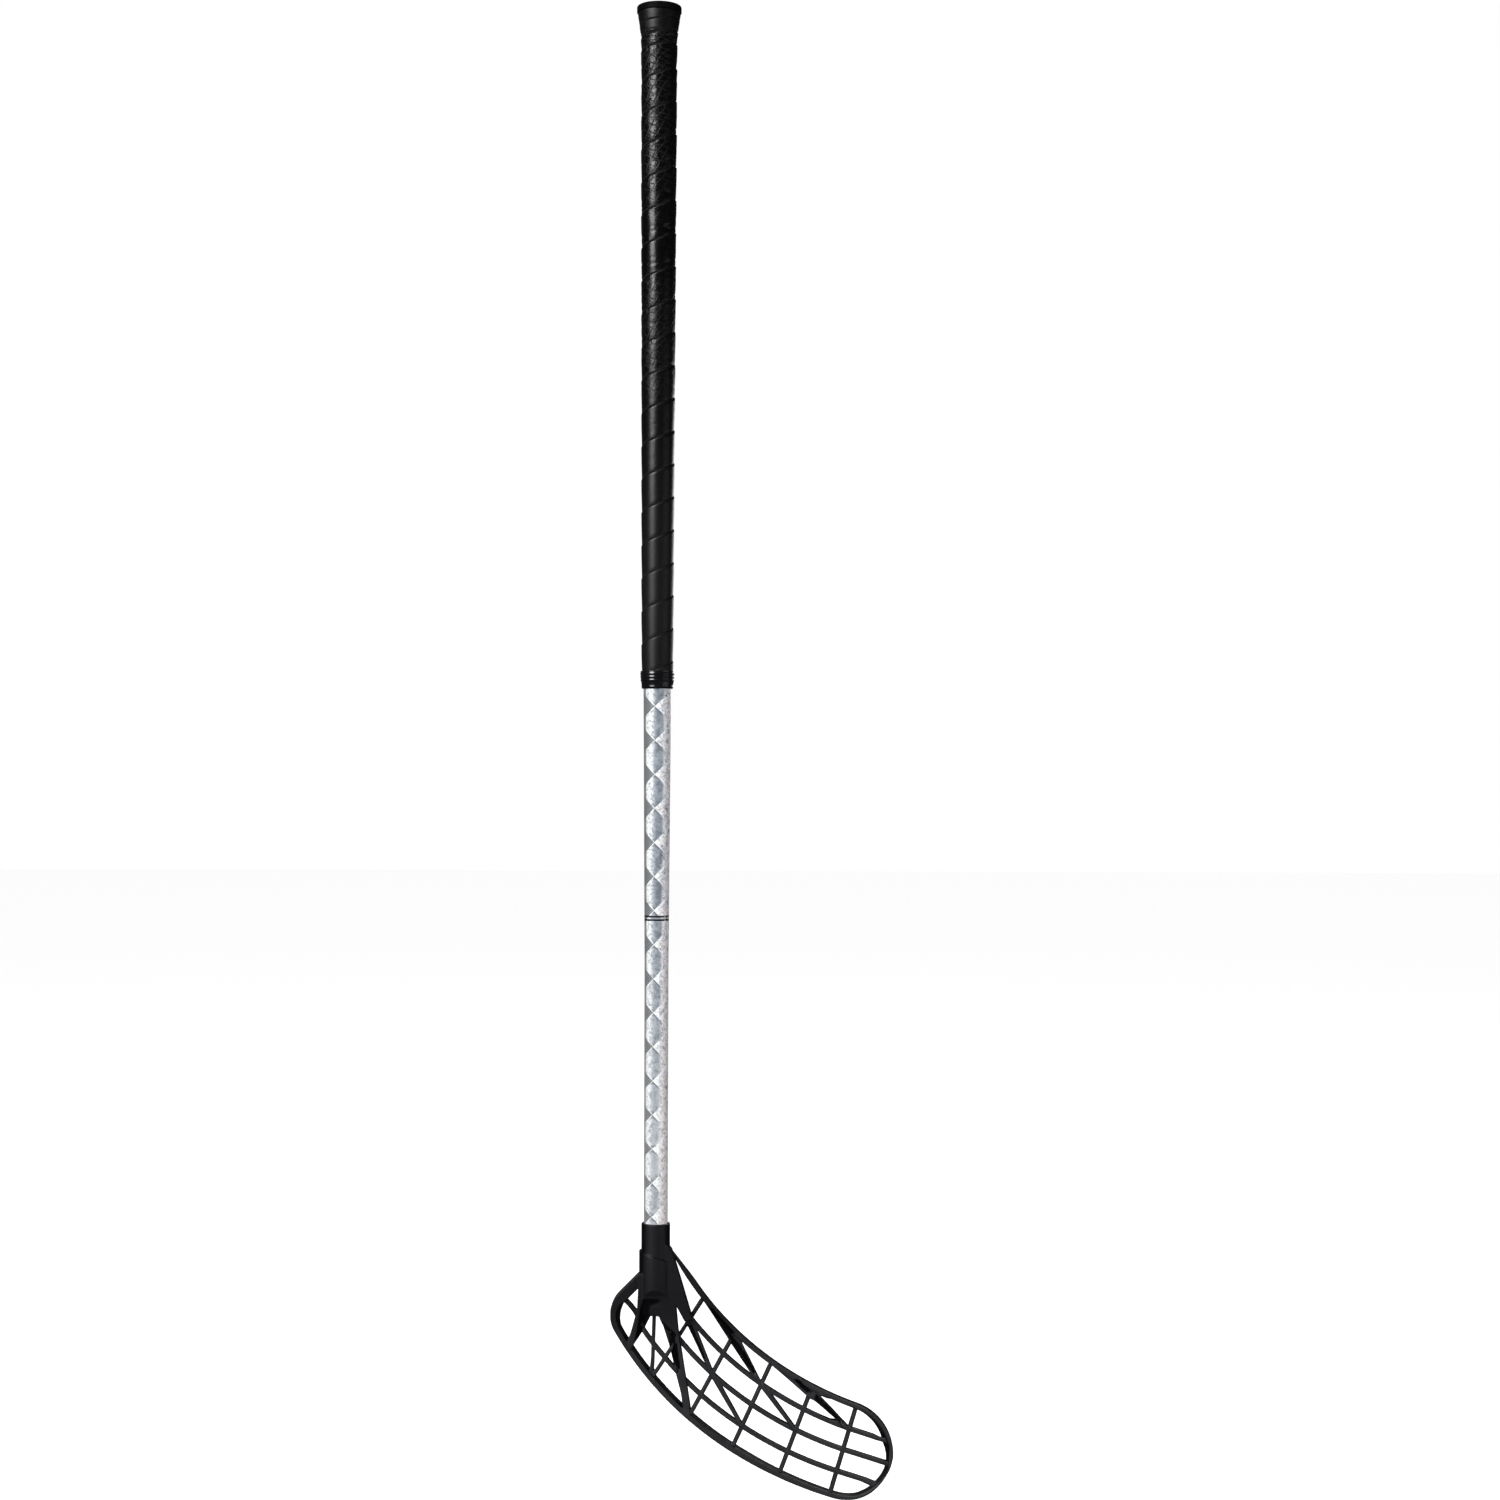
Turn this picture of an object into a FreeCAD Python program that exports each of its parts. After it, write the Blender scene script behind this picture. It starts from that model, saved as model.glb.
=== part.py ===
import FreeCAD, Part
import math
import os

from FreeCAD import Vector

# A floorball stick held upright, blade down. The axis of the shaft is Z, the blade points to +X
# and its hollow face looks to -Y. The origin is where the upper hand holds the grip.
# All sizes are in millimetres and degrees.

# Common sizes
HOLD_DEPTH = 70.0           # from the butt end down to the middle of the upper hand
BOND_GAP = 0.1              # glue line between pieces stuck on each other
BUTT_GAP = 0.3              # between pieces that follow each other along the shaft
CUT_OVERRUN = 5.0           # how far a cutting solid runs past what it cuts
FULL_TURN = 360.0

# Shaft tube
SHAFT_LENGTH = 995.0        # one metre with the cap
TUBE_TOP_RADIUS = 12.4
TUBE_WAIST_RADIUS = 10.5    # at the lower end of the grip
TUBE_END_RADIUS = 9.0       # along the parallel stretch that the blade goes on
TUBE_WALL = 1.3
PARALLEL_LENGTH = 250.0

# Printed film on the bare shaft
FILM_THICKNESS = 0.2

# End cap
CAP_RADIUS = 17.4
CAP_THICKNESS = 5.0
CAP_ROUNDING = 1.5
PLUG_LENGTH = 24.0
PLUG_WALL = 1.6

# Flared ring under the tape at the butt end
FLARE_RADIUS = 15.1
FLARE_LENGTH = 16.0
FLARE_FEATHER = 0.4         # thickness left at its lower edge

# Grip tape
GRIP_LENGTH = 517.0
GRIP_TURNS = 19
KNOB_TURNS = 3
KNOB_TAPE_PITCH = 9.7       # closer turns on the flare
TAPE_UPPER_THICKNESS = 1.9  # the edge that laps over the turn above
TAPE_LOWER_THICKNESS = 1.4
SEAM_GAP = 0.6
TAPE_START_ANGLE = 196.0
TAPE_FIRST_CUT_SHARE = 0.05 # part of a turn lost to the slanted cut at the lower end
TAPE_LAST_CUT_SHARE = 0.25  # and at the upper end
STEPS_PER_TURN = 18

# Ribbed collar over the lower end of the tape
COLLAR_LIP = 4.0            # overlap on the tape
COLLAR_BODY = 9.8           # stretch below the tape
COLLAR_WALL = 0.5           # over the tape
COLLAR_TAPER = 1.25         # how much smaller the last rib is
COLLAR_RIB_HEIGHT = 0.35
COLLAR_RIBS = 4

# Blade: the socket on the shaft
SOCKET_DEPTH = 51.3
SOCKET_CLEARANCE = 0.05
NECK_WALL = 1.95
SHOULDER_STEP = 1.7         # the lower part of the neck stands this far out
SHOULDER_TOP = 30.5         # height of its upper edge above the lower end of the shaft
SHOULDER_SLOPE = 9.0        # fall of that edge from heel side to toe side
FOOT_TOP = 1.0              # height above the lower end of the shaft where the foot leans back
FOOT_LEAN = 37.0
FOOT_LEAN_DROP = 5.0
FOOT_LENGTH = 21.0
FOOT_DEPTH = 14.0           # through the blade at its lower end

# Blade: the outline, measured from the axis and from the lower end of the shaft
TIP_RADIUS = 37.8
TIP_REACH = 184.5
TIP_DROP = 160.1
HEEL_RADIUS = 24.8
HEEL_REACH = 35.2
HEEL_DROP = 19.9
HEEL_LEAVE_ANGLE = 135.0    # where the heel's curve runs out straight to the neck
LOWER_EDGE_RADIUS = 270.5
UPPER_EDGE_RADIUS = 234.5
UPPER_EDGE_RISE = 42.0      # where its arc would meet the neck
RIM_TOP_RISE = 32.2         # where the bevel at its upper end meets the neck
RIM_TOP_ANGLE = 52.0

# Blade: the rim, the ribs and how deep each is through the blade
UPPER_RIM_WIDTH = 4.2
LOWER_RIM_WIDTH = 5.5
HEEL_RIM_WIDTH = 6.5
TIP_RIM_WIDTH = (UPPER_RIM_WIDTH + LOWER_RIM_WIDTH) / 2
RIM_DEPTH = 8.0
CROSS_RIB_WIDTH = 2.5
LONG_RIB_WIDTH = 3.2
RIB_DEPTH = 5.0
KNEE_BRACE_WIDTH = 5.8      # the first brace, where the gusset runs on into it
BRACE_START_WIDTH = 3.6
BRACE_END_WIDTH = 2.4
BRACE_DEPTH = 6.4
LEG_END_WIDTH = 3.6
LEG_TOP_DEPTH = 17.0        # next to the socket
LEG_END_DEPTH = 6.8         # at the lower rim
LEG_FALL = 95.0             # height over which the legs thin down
LEG_HOLLOW_DEPTH = 10.0     # slanted cut beside the front edge of each leg
LEG_HOLLOW_LEAN = 55.0
GUSSET_TOP_RISE = 35.5      # where the edge of the gusset would meet the neck
HOOK_START = 45.0           # from the axis to where the blade begins to bend
HOOK_RADIUS = 480.0

# Blade: where the ribs run, as shares of the edges and of the neck's or heel's radius
STATIONS = 5
UPPER_STATION_SHARES = (0.274, 0.996)   # first and last cross rib along each edge
LOWER_STATION_SHARES = (0.218, 0.990)
LONG_RIB_SHARES = (0.742, 0.5, 0.25)
TIP_RIB_SHARES = (0.67, 0.51, 0.34)
HEEL_RIB_SHARES = ((-0.62, 0.53), (-0.19, 0.05), (0.01, -0.43), (0.34, -0.89))
WEB_END_SHARE = 0.06        # how far past the middle station the web by the upper rim goes
WEB_LOW_SHARE = 0.8         # part of the brace's width that lies on the lower side of the web
LEFT_LEG_SHARE = 0.08       # foot of the heel leg along the lower edge
LEFT_LEG_OUTER_SHARES = ((-1.13, 1.2), (-1.20, 0.05), (-1.27, -1.34), (-1.44, -2.04))
LEFT_LEG_INNER_SHARES = ((-0.72, -2.67), (-0.21, -1.63), (0.0, 1.2))
LEFT_HOLLOW_SHARES = ((-1.0, -0.63), (-0.2, -1.27), (-0.2, -1.64), (-0.82, -3.27), (-1.6, -4.2), (-1.7, -4.2))
RIGHT_LEG_INNER_SHARES = ((0.0, 0.0), (0.29, -1.85), (1.01, -4.1))
RIGHT_LEG_OUTER_SHARES = ((1.61, -2.86), (1.43, -0.95))
RIGHT_HOLLOW_SHARES = ((0.2, -1.85), (1.52, -2.98), (1.9, -5.9), (1.0, -5.9), (0.2, -4.1))
FOOT_SHARES = ((-1.0, 0.3), (-0.21, -1.63), (0.29, -1.85), (1.43, -0.95), (1.0, 0.3))
GUSSET_FOOT_SHARES = ((1.43, -0.95), (0.0, -0.95))
THIN_RIB_TOP_SHARES = (-0.07, -1.27)

# Heights along the shaft
BUTT = HOLD_DEPTH
SHAFT_TOP = BUTT - CAP_THICKNESS
SHAFT_END = SHAFT_TOP - SHAFT_LENGTH
PARALLEL_TOP = SHAFT_END + PARALLEL_LENGTH
TAPE_TOP = SHAFT_TOP - BUTT_GAP
TAPE_BOTTOM = TAPE_TOP - GRIP_LENGTH
FLARE_BOTTOM = SHAFT_TOP - FLARE_LENGTH
COLLAR_TOP = TAPE_BOTTOM + COLLAR_LIP
COLLAR_BOTTOM = TAPE_BOTTOM - COLLAR_BODY
NECK_TOP = SHAFT_END + SOCKET_DEPTH
FILM_TOP = TAPE_BOTTOM - BUTT_GAP
FILM_BOTTOM = NECK_TOP + BUTT_GAP
GRIP_PITCH = (GRIP_LENGTH - KNOB_TURNS * KNOB_TAPE_PITCH) / GRIP_TURNS
TAPE_TURNS = GRIP_TURNS + KNOB_TURNS
SOCKET_RADIUS = TUBE_END_RADIUS + SOCKET_CLEARANCE
NECK_RADIUS = SOCKET_RADIUS + NECK_WALL
SHOULDER_RADIUS = NECK_RADIUS + SHOULDER_STEP

AXIS = Vector(0, 0, 1)


def between(start, end, share):
    return start + (end - start) * share


def turned(corners):
    """Solid turned about the shaft's axis from (radius, height) corners."""
    points = [Vector(radius, 0, height) for radius, height in corners]
    face = Part.Face(Part.makePolygon(points + points[:1]))
    return face.revolve(Vector(), AXIS, FULL_TURN)


def tube_radius(height):
    """Outer radius of the shaft tube at a height."""
    if height > TAPE_BOTTOM:
        share = (SHAFT_TOP - height) / (SHAFT_TOP - TAPE_BOTTOM)
        return between(TUBE_TOP_RADIUS, TUBE_WAIST_RADIUS, share)
    if height > PARALLEL_TOP:
        share = (TAPE_BOTTOM - height) / (TAPE_BOTTOM - PARALLEL_TOP)
        return between(TUBE_WAIST_RADIUS, TUBE_END_RADIUS, share)
    return TUBE_END_RADIUS


def sleeve(heights, inner_offset, outer_offset):
    """Ring that follows the shaft tube between the given heights, highest first."""
    inner = [(tube_radius(height) + inner_offset, height) for height in heights]
    outer = [(tube_radius(height) + outer_offset, height) for height in heights]
    return turned(inner + outer[::-1])


def shaft_tube():
    return sleeve((SHAFT_TOP, TAPE_BOTTOM, PARALLEL_TOP, SHAFT_END), -TUBE_WALL, 0)


def print_film():
    return sleeve((FILM_TOP, PARALLEL_TOP, FILM_BOTTOM), BOND_GAP, BOND_GAP + FILM_THICKNESS)


def end_cap():
    """Round-edged cap with a hollow plug in the top of the tube."""
    flange = Part.makeCylinder(CAP_RADIUS, CAP_THICKNESS, Vector(0, 0, SHAFT_TOP))
    rim = [edge for edge in flange.Edges if edge.Closed and edge.BoundBox.ZMin > SHAFT_TOP]
    flange = flange.makeFillet(CAP_ROUNDING, rim)
    plug_bottom = SHAFT_TOP - PLUG_LENGTH
    plug_radius = tube_radius(plug_bottom) - TUBE_WALL - BOND_GAP
    plug = Part.makeCylinder(plug_radius, PLUG_LENGTH, Vector(0, 0, plug_bottom))
    hollow = Part.makeCylinder(plug_radius - PLUG_WALL, PLUG_LENGTH, Vector(0, 0, plug_bottom))
    return flange.fuse(plug.cut(hollow)).removeSplitter()


def flare_radius(height):
    """Outer radius of the flared ring, on a straight cone."""
    feather = tube_radius(FLARE_BOTTOM) + BOND_GAP + FLARE_FEATHER
    return between(feather, FLARE_RADIUS, (height - FLARE_BOTTOM) / FLARE_LENGTH)


def flare_ring():
    heights = (TAPE_TOP, FLARE_BOTTOM)
    inner = [(tube_radius(height) + BOND_GAP, height) for height in heights]
    outer = [(flare_radius(height), height) for height in heights]
    return turned(inner + outer[::-1])


def tape_seat(height):
    """Radius that the tape lies on, the tube or the flared ring."""
    return max(tube_radius(height), flare_radius(height)) + BOND_GAP


def seam_height(turns):
    """Height of the seam after a number of turns from the tape's lower end."""
    on_grip = min(max(turns, 0), GRIP_TURNS)
    on_knob = min(max(turns - GRIP_TURNS, 0), KNOB_TURNS)
    return TAPE_BOTTOM + on_grip * GRIP_PITCH + on_knob * KNOB_TAPE_PITCH


def tape_corners(turns):
    """The four corners of the tape's section after a number of turns."""
    low = seam_height(turns - 1)
    high = seam_height(turns) - SEAM_GAP
    angle = math.radians(TAPE_START_ANGLE + FULL_TURN * turns)
    section = (
        (tape_seat(low), low),
        (tape_seat(high), high),
        (tape_seat(high) + TAPE_UPPER_THICKNESS, high),
        (tape_seat(low) + TAPE_LOWER_THICKNESS, low),
    )
    return [Vector(r * math.cos(angle), r * math.sin(angle), z) for r, z in section]


def grip_tape():
    """One tape wound up the grip in a right-handed helix, its upper edge thicker, skinned turn by turn."""
    first = TAPE_FIRST_CUT_SHARE
    last = TAPE_TURNS + 1 - TAPE_LAST_CUT_SHARE
    steps = round((last - first) * STEPS_PER_TURN)
    turns = [between(first, last, step / steps) for step in range(steps + 1)]
    sections = [tape_corners(turn) for turn in turns]
    curves = []
    for corner in range(len(sections[0])):
        curve = Part.BSplineCurve()
        curve.interpolate(Points=[section[corner] for section in sections], Parameters=turns)
        curves.append(curve)
    same_way = 1
    faces = []
    for step in range(0, steps, STEPS_PER_TURN):
        start, end = turns[step], turns[min(step + STEPS_PER_TURN, steps)]
        edges = [curve.toShape(start, end) for curve in curves]
        for index, edge in enumerate(edges):
            faces.append(Part.makeRuledSurface(edge, edges[index - 1], same_way))
    for section in (sections[0], sections[-1]):
        faces.append(polygon(section))
    skin = Part.makeCompound(faces)
    skin.sewShape()
    print_tape_gap(curves, first, last)
    return Part.Solid(skin.Shells[0])


def print_tape_gap(curves, first, last):
    """Least distance between neighbouring turns, measured on points of the finished edges."""
    upper, lower = curves[2:]
    count = round((last - first - 1) * STEPS_PER_TURN * STEPS_PER_TURN)
    turns = [between(first, last - 1, step / count) for step in range(count + 1)]
    gaps = [upper.value(turn).z - lower.value(turn + 1).z for turn in turns]
    print("least gap between turns of the grip tape: %.2f mm" % -max(gaps))


def grip_collar():
    """Rubber collar: a thin lip over the tape's end and a body on the film, with round ribs."""
    tape_radius = tape_seat(COLLAR_TOP) + TAPE_UPPER_THICKNESS
    lip_radius = tape_radius + BOND_GAP
    film_radius = tube_radius(TAPE_BOTTOM) + BOND_GAP + FILM_THICKNESS + BOND_GAP
    groove_radius = lip_radius + COLLAR_WALL
    rib_pitch = (COLLAR_TOP - COLLAR_BOTTOM) / COLLAR_RIBS
    grooves = []
    for index in range(COLLAR_RIBS + 1):
        radius = groove_radius - COLLAR_TAPER * (index / COLLAR_RIBS) ** 2
        grooves.append(Vector(radius, 0, COLLAR_TOP - index * rib_pitch))
    edges = []
    for upper, lower in zip(grooves, grooves[1:]):
        crest = between(upper, lower, 0.5) + Vector(COLLAR_RIB_HEIGHT, 0, 0)
        edges.append(Part.Arc(upper, crest, lower).toShape())
    bore = (
        grooves[-1],
        Vector(film_radius, 0, COLLAR_BOTTOM),
        Vector(film_radius, 0, FILM_TOP),
        Vector(lip_radius, 0, FILM_TOP),
        Vector(lip_radius, 0, COLLAR_TOP),
        grooves[0],
    )
    for start, end in zip(bore, bore[1:]):
        edges.append(Part.makeLine(start, end))
    return Part.Face(Part.Wire(edges)).revolve(Vector(), AXIS, FULL_TURN)


def blade_point(out, rise):
    """Point in the blade's flat layout: out from the axis, up from the shaft's lower end."""
    return Vector(out, 0, SHAFT_END + rise)


def neck_points(shares):
    """Layout points given as shares of the neck's radius."""
    return [blade_point(out * NECK_RADIUS, rise * NECK_RADIUS) for out, rise in shares]


def on_circle(centre, radius, angle):
    return centre + Vector(math.cos(angle), 0, math.sin(angle)) * radius


def bearing(centre, point):
    return math.atan2(point.z - centre.z, point.x - centre.x)


def circles_meet(first, first_radius, second, second_radius):
    """Where two circles cross, to the right of the way from the first to the second."""
    way = second - first
    along = (first_radius ** 2 - second_radius ** 2 + way.Length ** 2) / (2 * way.Length)
    aside = math.sqrt(first_radius ** 2 - along ** 2)
    way.normalize()
    return first + way * along + Vector(way.z, 0, -way.x) * aside


def arc(centre, radius, start, end):
    angles = (start, (start + end) / 2, end)
    return Part.Arc(*[on_circle(centre, radius, angle) for angle in angles]).toShape()


# The blade's edges are arcs that run into each other without a corner
TIP = blade_point(TIP_REACH - TIP_RADIUS, TIP_RADIUS - TIP_DROP)
HEEL = blade_point(HEEL_RADIUS - HEEL_REACH, -HEEL_DROP)
RIM_START = blade_point(NECK_RADIUS, UPPER_EDGE_RISE)
LOWER = circles_meet(TIP, LOWER_EDGE_RADIUS - TIP_RADIUS, HEEL, LOWER_EDGE_RADIUS - HEEL_RADIUS)
UPPER = circles_meet(TIP, UPPER_EDGE_RADIUS + TIP_RADIUS, RIM_START, UPPER_EDGE_RADIUS)


def blade_outline(upper_inset=0, lower_inset=0, heel_inset=0):
    """Face inside the blade's edge, or inside its rim when insets are given."""
    upper_radius = UPPER_EDGE_RADIUS + upper_inset
    lower_radius = LOWER_EDGE_RADIUS - lower_inset
    tip_radius = TIP_RADIUS - (upper_inset + lower_inset) / 2
    heel_radius = HEEL_RADIUS - heel_inset
    tip = circles_meet(LOWER, lower_radius - tip_radius, UPPER, upper_radius + tip_radius)
    heel_fall = math.sqrt((lower_radius - heel_radius) ** 2 - (LOWER.x - HEEL.x) ** 2)
    heel = Vector(HEEL.x, 0, LOWER.z - heel_fall)
    leave = math.radians(HEEL_LEAVE_ANGLE)
    heel_turn = bearing(LOWER, heel) + math.radians(FULL_TURN)
    start = on_circle(UPPER, upper_radius, bearing(UPPER, RIM_START))
    last = on_circle(heel, heel_radius, leave)
    neck_foot = Vector(0, 0, last.z + last.x / math.tan(leave))
    neck_head = Vector(0, 0, start.z)
    edges = [
        arc(UPPER, upper_radius, bearing(UPPER, RIM_START), bearing(UPPER, tip)),
        arc(tip, tip_radius, bearing(tip, UPPER), bearing(LOWER, tip)),
        arc(LOWER, lower_radius, bearing(LOWER, tip), bearing(LOWER, heel)),
        arc(heel, heel_radius, heel_turn, leave),
        Part.makeLine(last, neck_foot),
        Part.makeLine(neck_foot, neck_head),
        Part.makeLine(neck_head, start),
    ]
    return Part.Face(Part.Wire(edges))


def station_share(ends, station):
    return between(*ends, station / (STATIONS - 1))


def upper_point(station):
    """Point in the middle of the upper rim at a station, which may lie between two ribs."""
    start, end = bearing(UPPER, RIM_START), bearing(UPPER, TIP)
    angle = between(start, end, station_share(UPPER_STATION_SHARES, station))
    return on_circle(UPPER, UPPER_EDGE_RADIUS + UPPER_RIM_WIDTH / 2, angle)


def lower_point(share):
    """Point in the middle of the lower rim at a share of the way from heel to tip."""
    angle = between(bearing(LOWER, HEEL), bearing(LOWER, TIP), share)
    return on_circle(LOWER, LOWER_EDGE_RADIUS - LOWER_RIM_WIDTH / 2, angle)


def crossing(station, share):
    """Point on a cross rib, from the lower rim at 0 to the upper rim at 1."""
    low = lower_point(station_share(LOWER_STATION_SHARES, station))
    return between(low, upper_point(station), share)


def tip_point(share):
    """Point in the tip's rim, from the lower edge at 0 to the upper edge at 1."""
    angle = between(bearing(LOWER, TIP), bearing(TIP, UPPER), share)
    return on_circle(TIP, TIP_RADIUS - TIP_RIM_WIDTH / 2, angle)


def square_to(start, end):
    """Unit vector in the layout, square to the way from start to end."""
    way = (end - start).normalize()
    return Vector(-way.z, 0, way.x)


def polygon(points):
    return Part.Face(Part.makePolygon(points + points[:1]))


def bar(start, end, start_width, end_width):
    """Straight rib in the layout, which may taper."""
    side = square_to(start, end)
    near = side * (start_width / 2)
    far = side * (end_width / 2)
    return polygon([start - near, start + near, end + far, end - far])


def bent_bar(points, width):
    """Curved rib of even width through three points."""
    first, middle, last = points
    sides = (square_to(first, middle), square_to(first, last), square_to(middle, last))
    left = [point + side * (width / 2) for point, side in zip(points, sides)]
    right = [point - side * (width / 2) for point, side in zip(points, sides)]
    edges = [
        Part.Arc(*left).toShape(),
        Part.makeLine(left[-1], right[-1]),
        Part.Arc(*right[::-1]).toShape(),
        Part.makeLine(right[0], left[0]),
    ]
    return Part.Face(Part.Wire(edges))


def long_ribs():
    """Ribs along the blade, the lowest of which starts in the heel."""
    faces = []
    for share, tip_share in zip(LONG_RIB_SHARES, TIP_RIB_SHARES):
        points = [crossing(station, share) for station in range(STATIONS)]
        faces.append(bent_bar(points[:3], LONG_RIB_WIDTH))
        faces.append(bent_bar(points[2:], LONG_RIB_WIDTH))
        faces.append(bar(points[-1], tip_point(tip_share), LONG_RIB_WIDTH, LONG_RIB_WIDTH))
    heel = [HEEL + Vector(out, 0, rise) * HEEL_RADIUS for out, rise in HEEL_RIB_SHARES]
    faces.append(bent_bar(heel[:3], LONG_RIB_WIDTH))
    faces.append(bent_bar(heel[2:] + [crossing(0, LONG_RIB_SHARES[-1])], LONG_RIB_WIDTH))
    return faces


def cross_ribs():
    """Ribs across the blade, and the thin one that runs down from the foot of the socket."""
    ends = [(crossing(station, 0), crossing(station, 1)) for station in range(STATIONS)]
    ends.append((neck_points([THIN_RIB_TOP_SHARES])[0], crossing(0, 0)))
    return [bar(start, end, CROSS_RIB_WIDTH, CROSS_RIB_WIDTH) for start, end in ends]


def braces():
    """Slanted ribs between crossings, and the two webs that lean on the upper rim."""
    upper, middle, lower = LONG_RIB_SHARES
    knee, knee_end = crossing(0, upper), crossing(1, middle)
    knee_shift = square_to(knee, knee_end) * ((KNEE_BRACE_WIDTH - BRACE_END_WIDTH) / 2)
    faces = [bar(knee - knee_shift, knee_end, KNEE_BRACE_WIDTH, BRACE_END_WIDTH)]
    for start, end in (((1, middle), (2, lower)), ((2, upper), (3, middle))):
        faces.append(bar(crossing(*start), crossing(*end), BRACE_START_WIDTH, BRACE_END_WIDTH))
    for station in (0, 2):
        start = upper_point(station)
        end = crossing(station + 2, upper)
        side = square_to(start, end) * BRACE_END_WIDTH
        low = side * WEB_LOW_SHARE
        web_end = upper_point(station + 1 + WEB_END_SHARE)
        faces.append(polygon([start - low, start, web_end, end + side - low, end - low]))
    return faces


def legs():
    """Legs that fan out from under the socket to the rim."""
    left_foot = lower_point(LEFT_LEG_SHARE)
    left_top = neck_points(LEFT_LEG_OUTER_SHARES)
    left_side = square_to(left_top[-1], left_foot) * (LEG_END_WIDTH / 2)
    left_end = [left_foot - left_side, left_foot + left_side]
    left = polygon(left_top + left_end + neck_points(LEFT_LEG_INNER_SHARES))
    right_foot = crossing(1, 0)
    right_inner = neck_points(RIGHT_LEG_INNER_SHARES)
    right_side = square_to(right_inner[-1], right_foot) * (LEG_END_WIDTH / 2)
    right_end = [right_foot - right_side, right_foot + right_side]
    right = polygon(right_inner + right_end + neck_points(RIGHT_LEG_OUTER_SHARES))
    knee = crossing(0, LONG_RIB_SHARES[0])
    gusset_top = [blade_point(out, GUSSET_TOP_RISE) for out in (0, NECK_RADIUS)]
    knee_side = square_to(gusset_top[-1], knee)
    knee_right = knee + knee_side * (BRACE_END_WIDTH / 2)
    gusset_end = [knee_right, knee_right - knee_side * KNEE_BRACE_WIDTH]
    gusset = polygon(gusset_top + gusset_end + neck_points(GUSSET_FOOT_SHARES))
    return [left, right, gusset, polygon(neck_points(FOOT_SHARES))]


def joined(faces):
    """One flat layout made of all the given faces, stretched right through the blade."""
    through = Vector(0, 2 * (TIP_REACH + CUT_OVERRUN), 0)
    layout = faces[0].multiFuse(faces[1:]).removeSplitter() if faces[1:] else faces[0]
    solids = []
    for face in layout.Faces:
        face.translate(-through / 2)
        solids.append(face.extrude(through))
    return solids


def hooked_slab(depth):
    """Slab of even depth, flat by the neck and bent towards -Y along the blade."""
    half = depth / 2
    bottom = SHAFT_END - TIP_DROP - CUT_OVERRUN
    height = NECK_TOP - bottom
    heel_side = -HEEL_REACH - CUT_OVERRUN
    bend = Vector(HOOK_START, -HOOK_RADIUS, bottom)
    sweep = math.asin((TIP_REACH + CUT_OVERRUN - HOOK_START) / (HOOK_RADIUS - half))
    curves = []
    for radius in (HOOK_RADIUS - half, HOOK_RADIUS + half):
        turns = (0, sweep / 2, sweep)
        curves.append([bend + Vector(math.sin(t), math.cos(t), 0) * radius for t in turns])
    front, back = curves
    corners = [Vector(heel_side, -half, bottom), Vector(heel_side, half, bottom)]
    edges = [
        Part.makeLine(corners[1], corners[0]),
        Part.makeLine(corners[0], front[0]),
        Part.Arc(*front).toShape(),
        Part.makeLine(front[-1], back[-1]),
        Part.Arc(*back[::-1]).toShape(),
        Part.makeLine(back[0], corners[1]),
    ]
    return Part.Face(Part.Wire(edges)).extrude(AXIS * height)


def leg_wedge():
    """Body that thins downwards, which gives the legs their depth."""
    top, end = LEG_TOP_DEPTH / 2, LEG_END_DEPTH / 2
    bottom = -TIP_DROP - CUT_OVERRUN
    profile = [
        (-top, SOCKET_DEPTH), (top, SOCKET_DEPTH), (top, 0), (end, -LEG_FALL),
        (end, bottom), (-end, bottom), (-end, -LEG_FALL), (-top, 0),
    ]
    start = -HEEL_REACH - CUT_OVERRUN
    points = [Vector(start, depth, SHAFT_END + rise) for depth, rise in profile]
    return polygon(points).extrude(Vector(TIP_REACH, 0, 0))


def leg_hollows():
    """Slanted cuts that leave each leg a narrow front edge and a wall falling back beside it."""
    aside = LEG_HOLLOW_DEPTH / math.tan(math.radians(LEG_HOLLOW_LEAN))
    cuts = []
    for shares, way in ((LEFT_HOLLOW_SHARES, 1), (RIGHT_HOLLOW_SHARES, -1)):
        face = polygon(neck_points(shares))
        face.translate(Vector(0, -LEG_TOP_DEPTH / 2, 0))
        cuts.append(face.extrude(Vector(way * aside, LEG_HOLLOW_DEPTH, 0)))
    return cuts


def rim_top():
    """What the bevel takes off the upper rim and the gusset next to the neck."""
    slope = math.tan(math.radians(RIM_TOP_ANGLE))
    high = blade_point(0, RIM_TOP_RISE + NECK_RADIUS * slope)
    low = blade_point(NECK_RADIUS + RIM_TOP_RISE / slope, 0)
    return polygon([high, low, Vector(low.x, 0, high.z)])


def foot_depth(rise):
    """How far the leaning face of the foot stands out from the axis at a height."""
    return SHOULDER_RADIUS + (rise - FOOT_TOP) * math.tan(math.radians(FOOT_LEAN))


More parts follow.
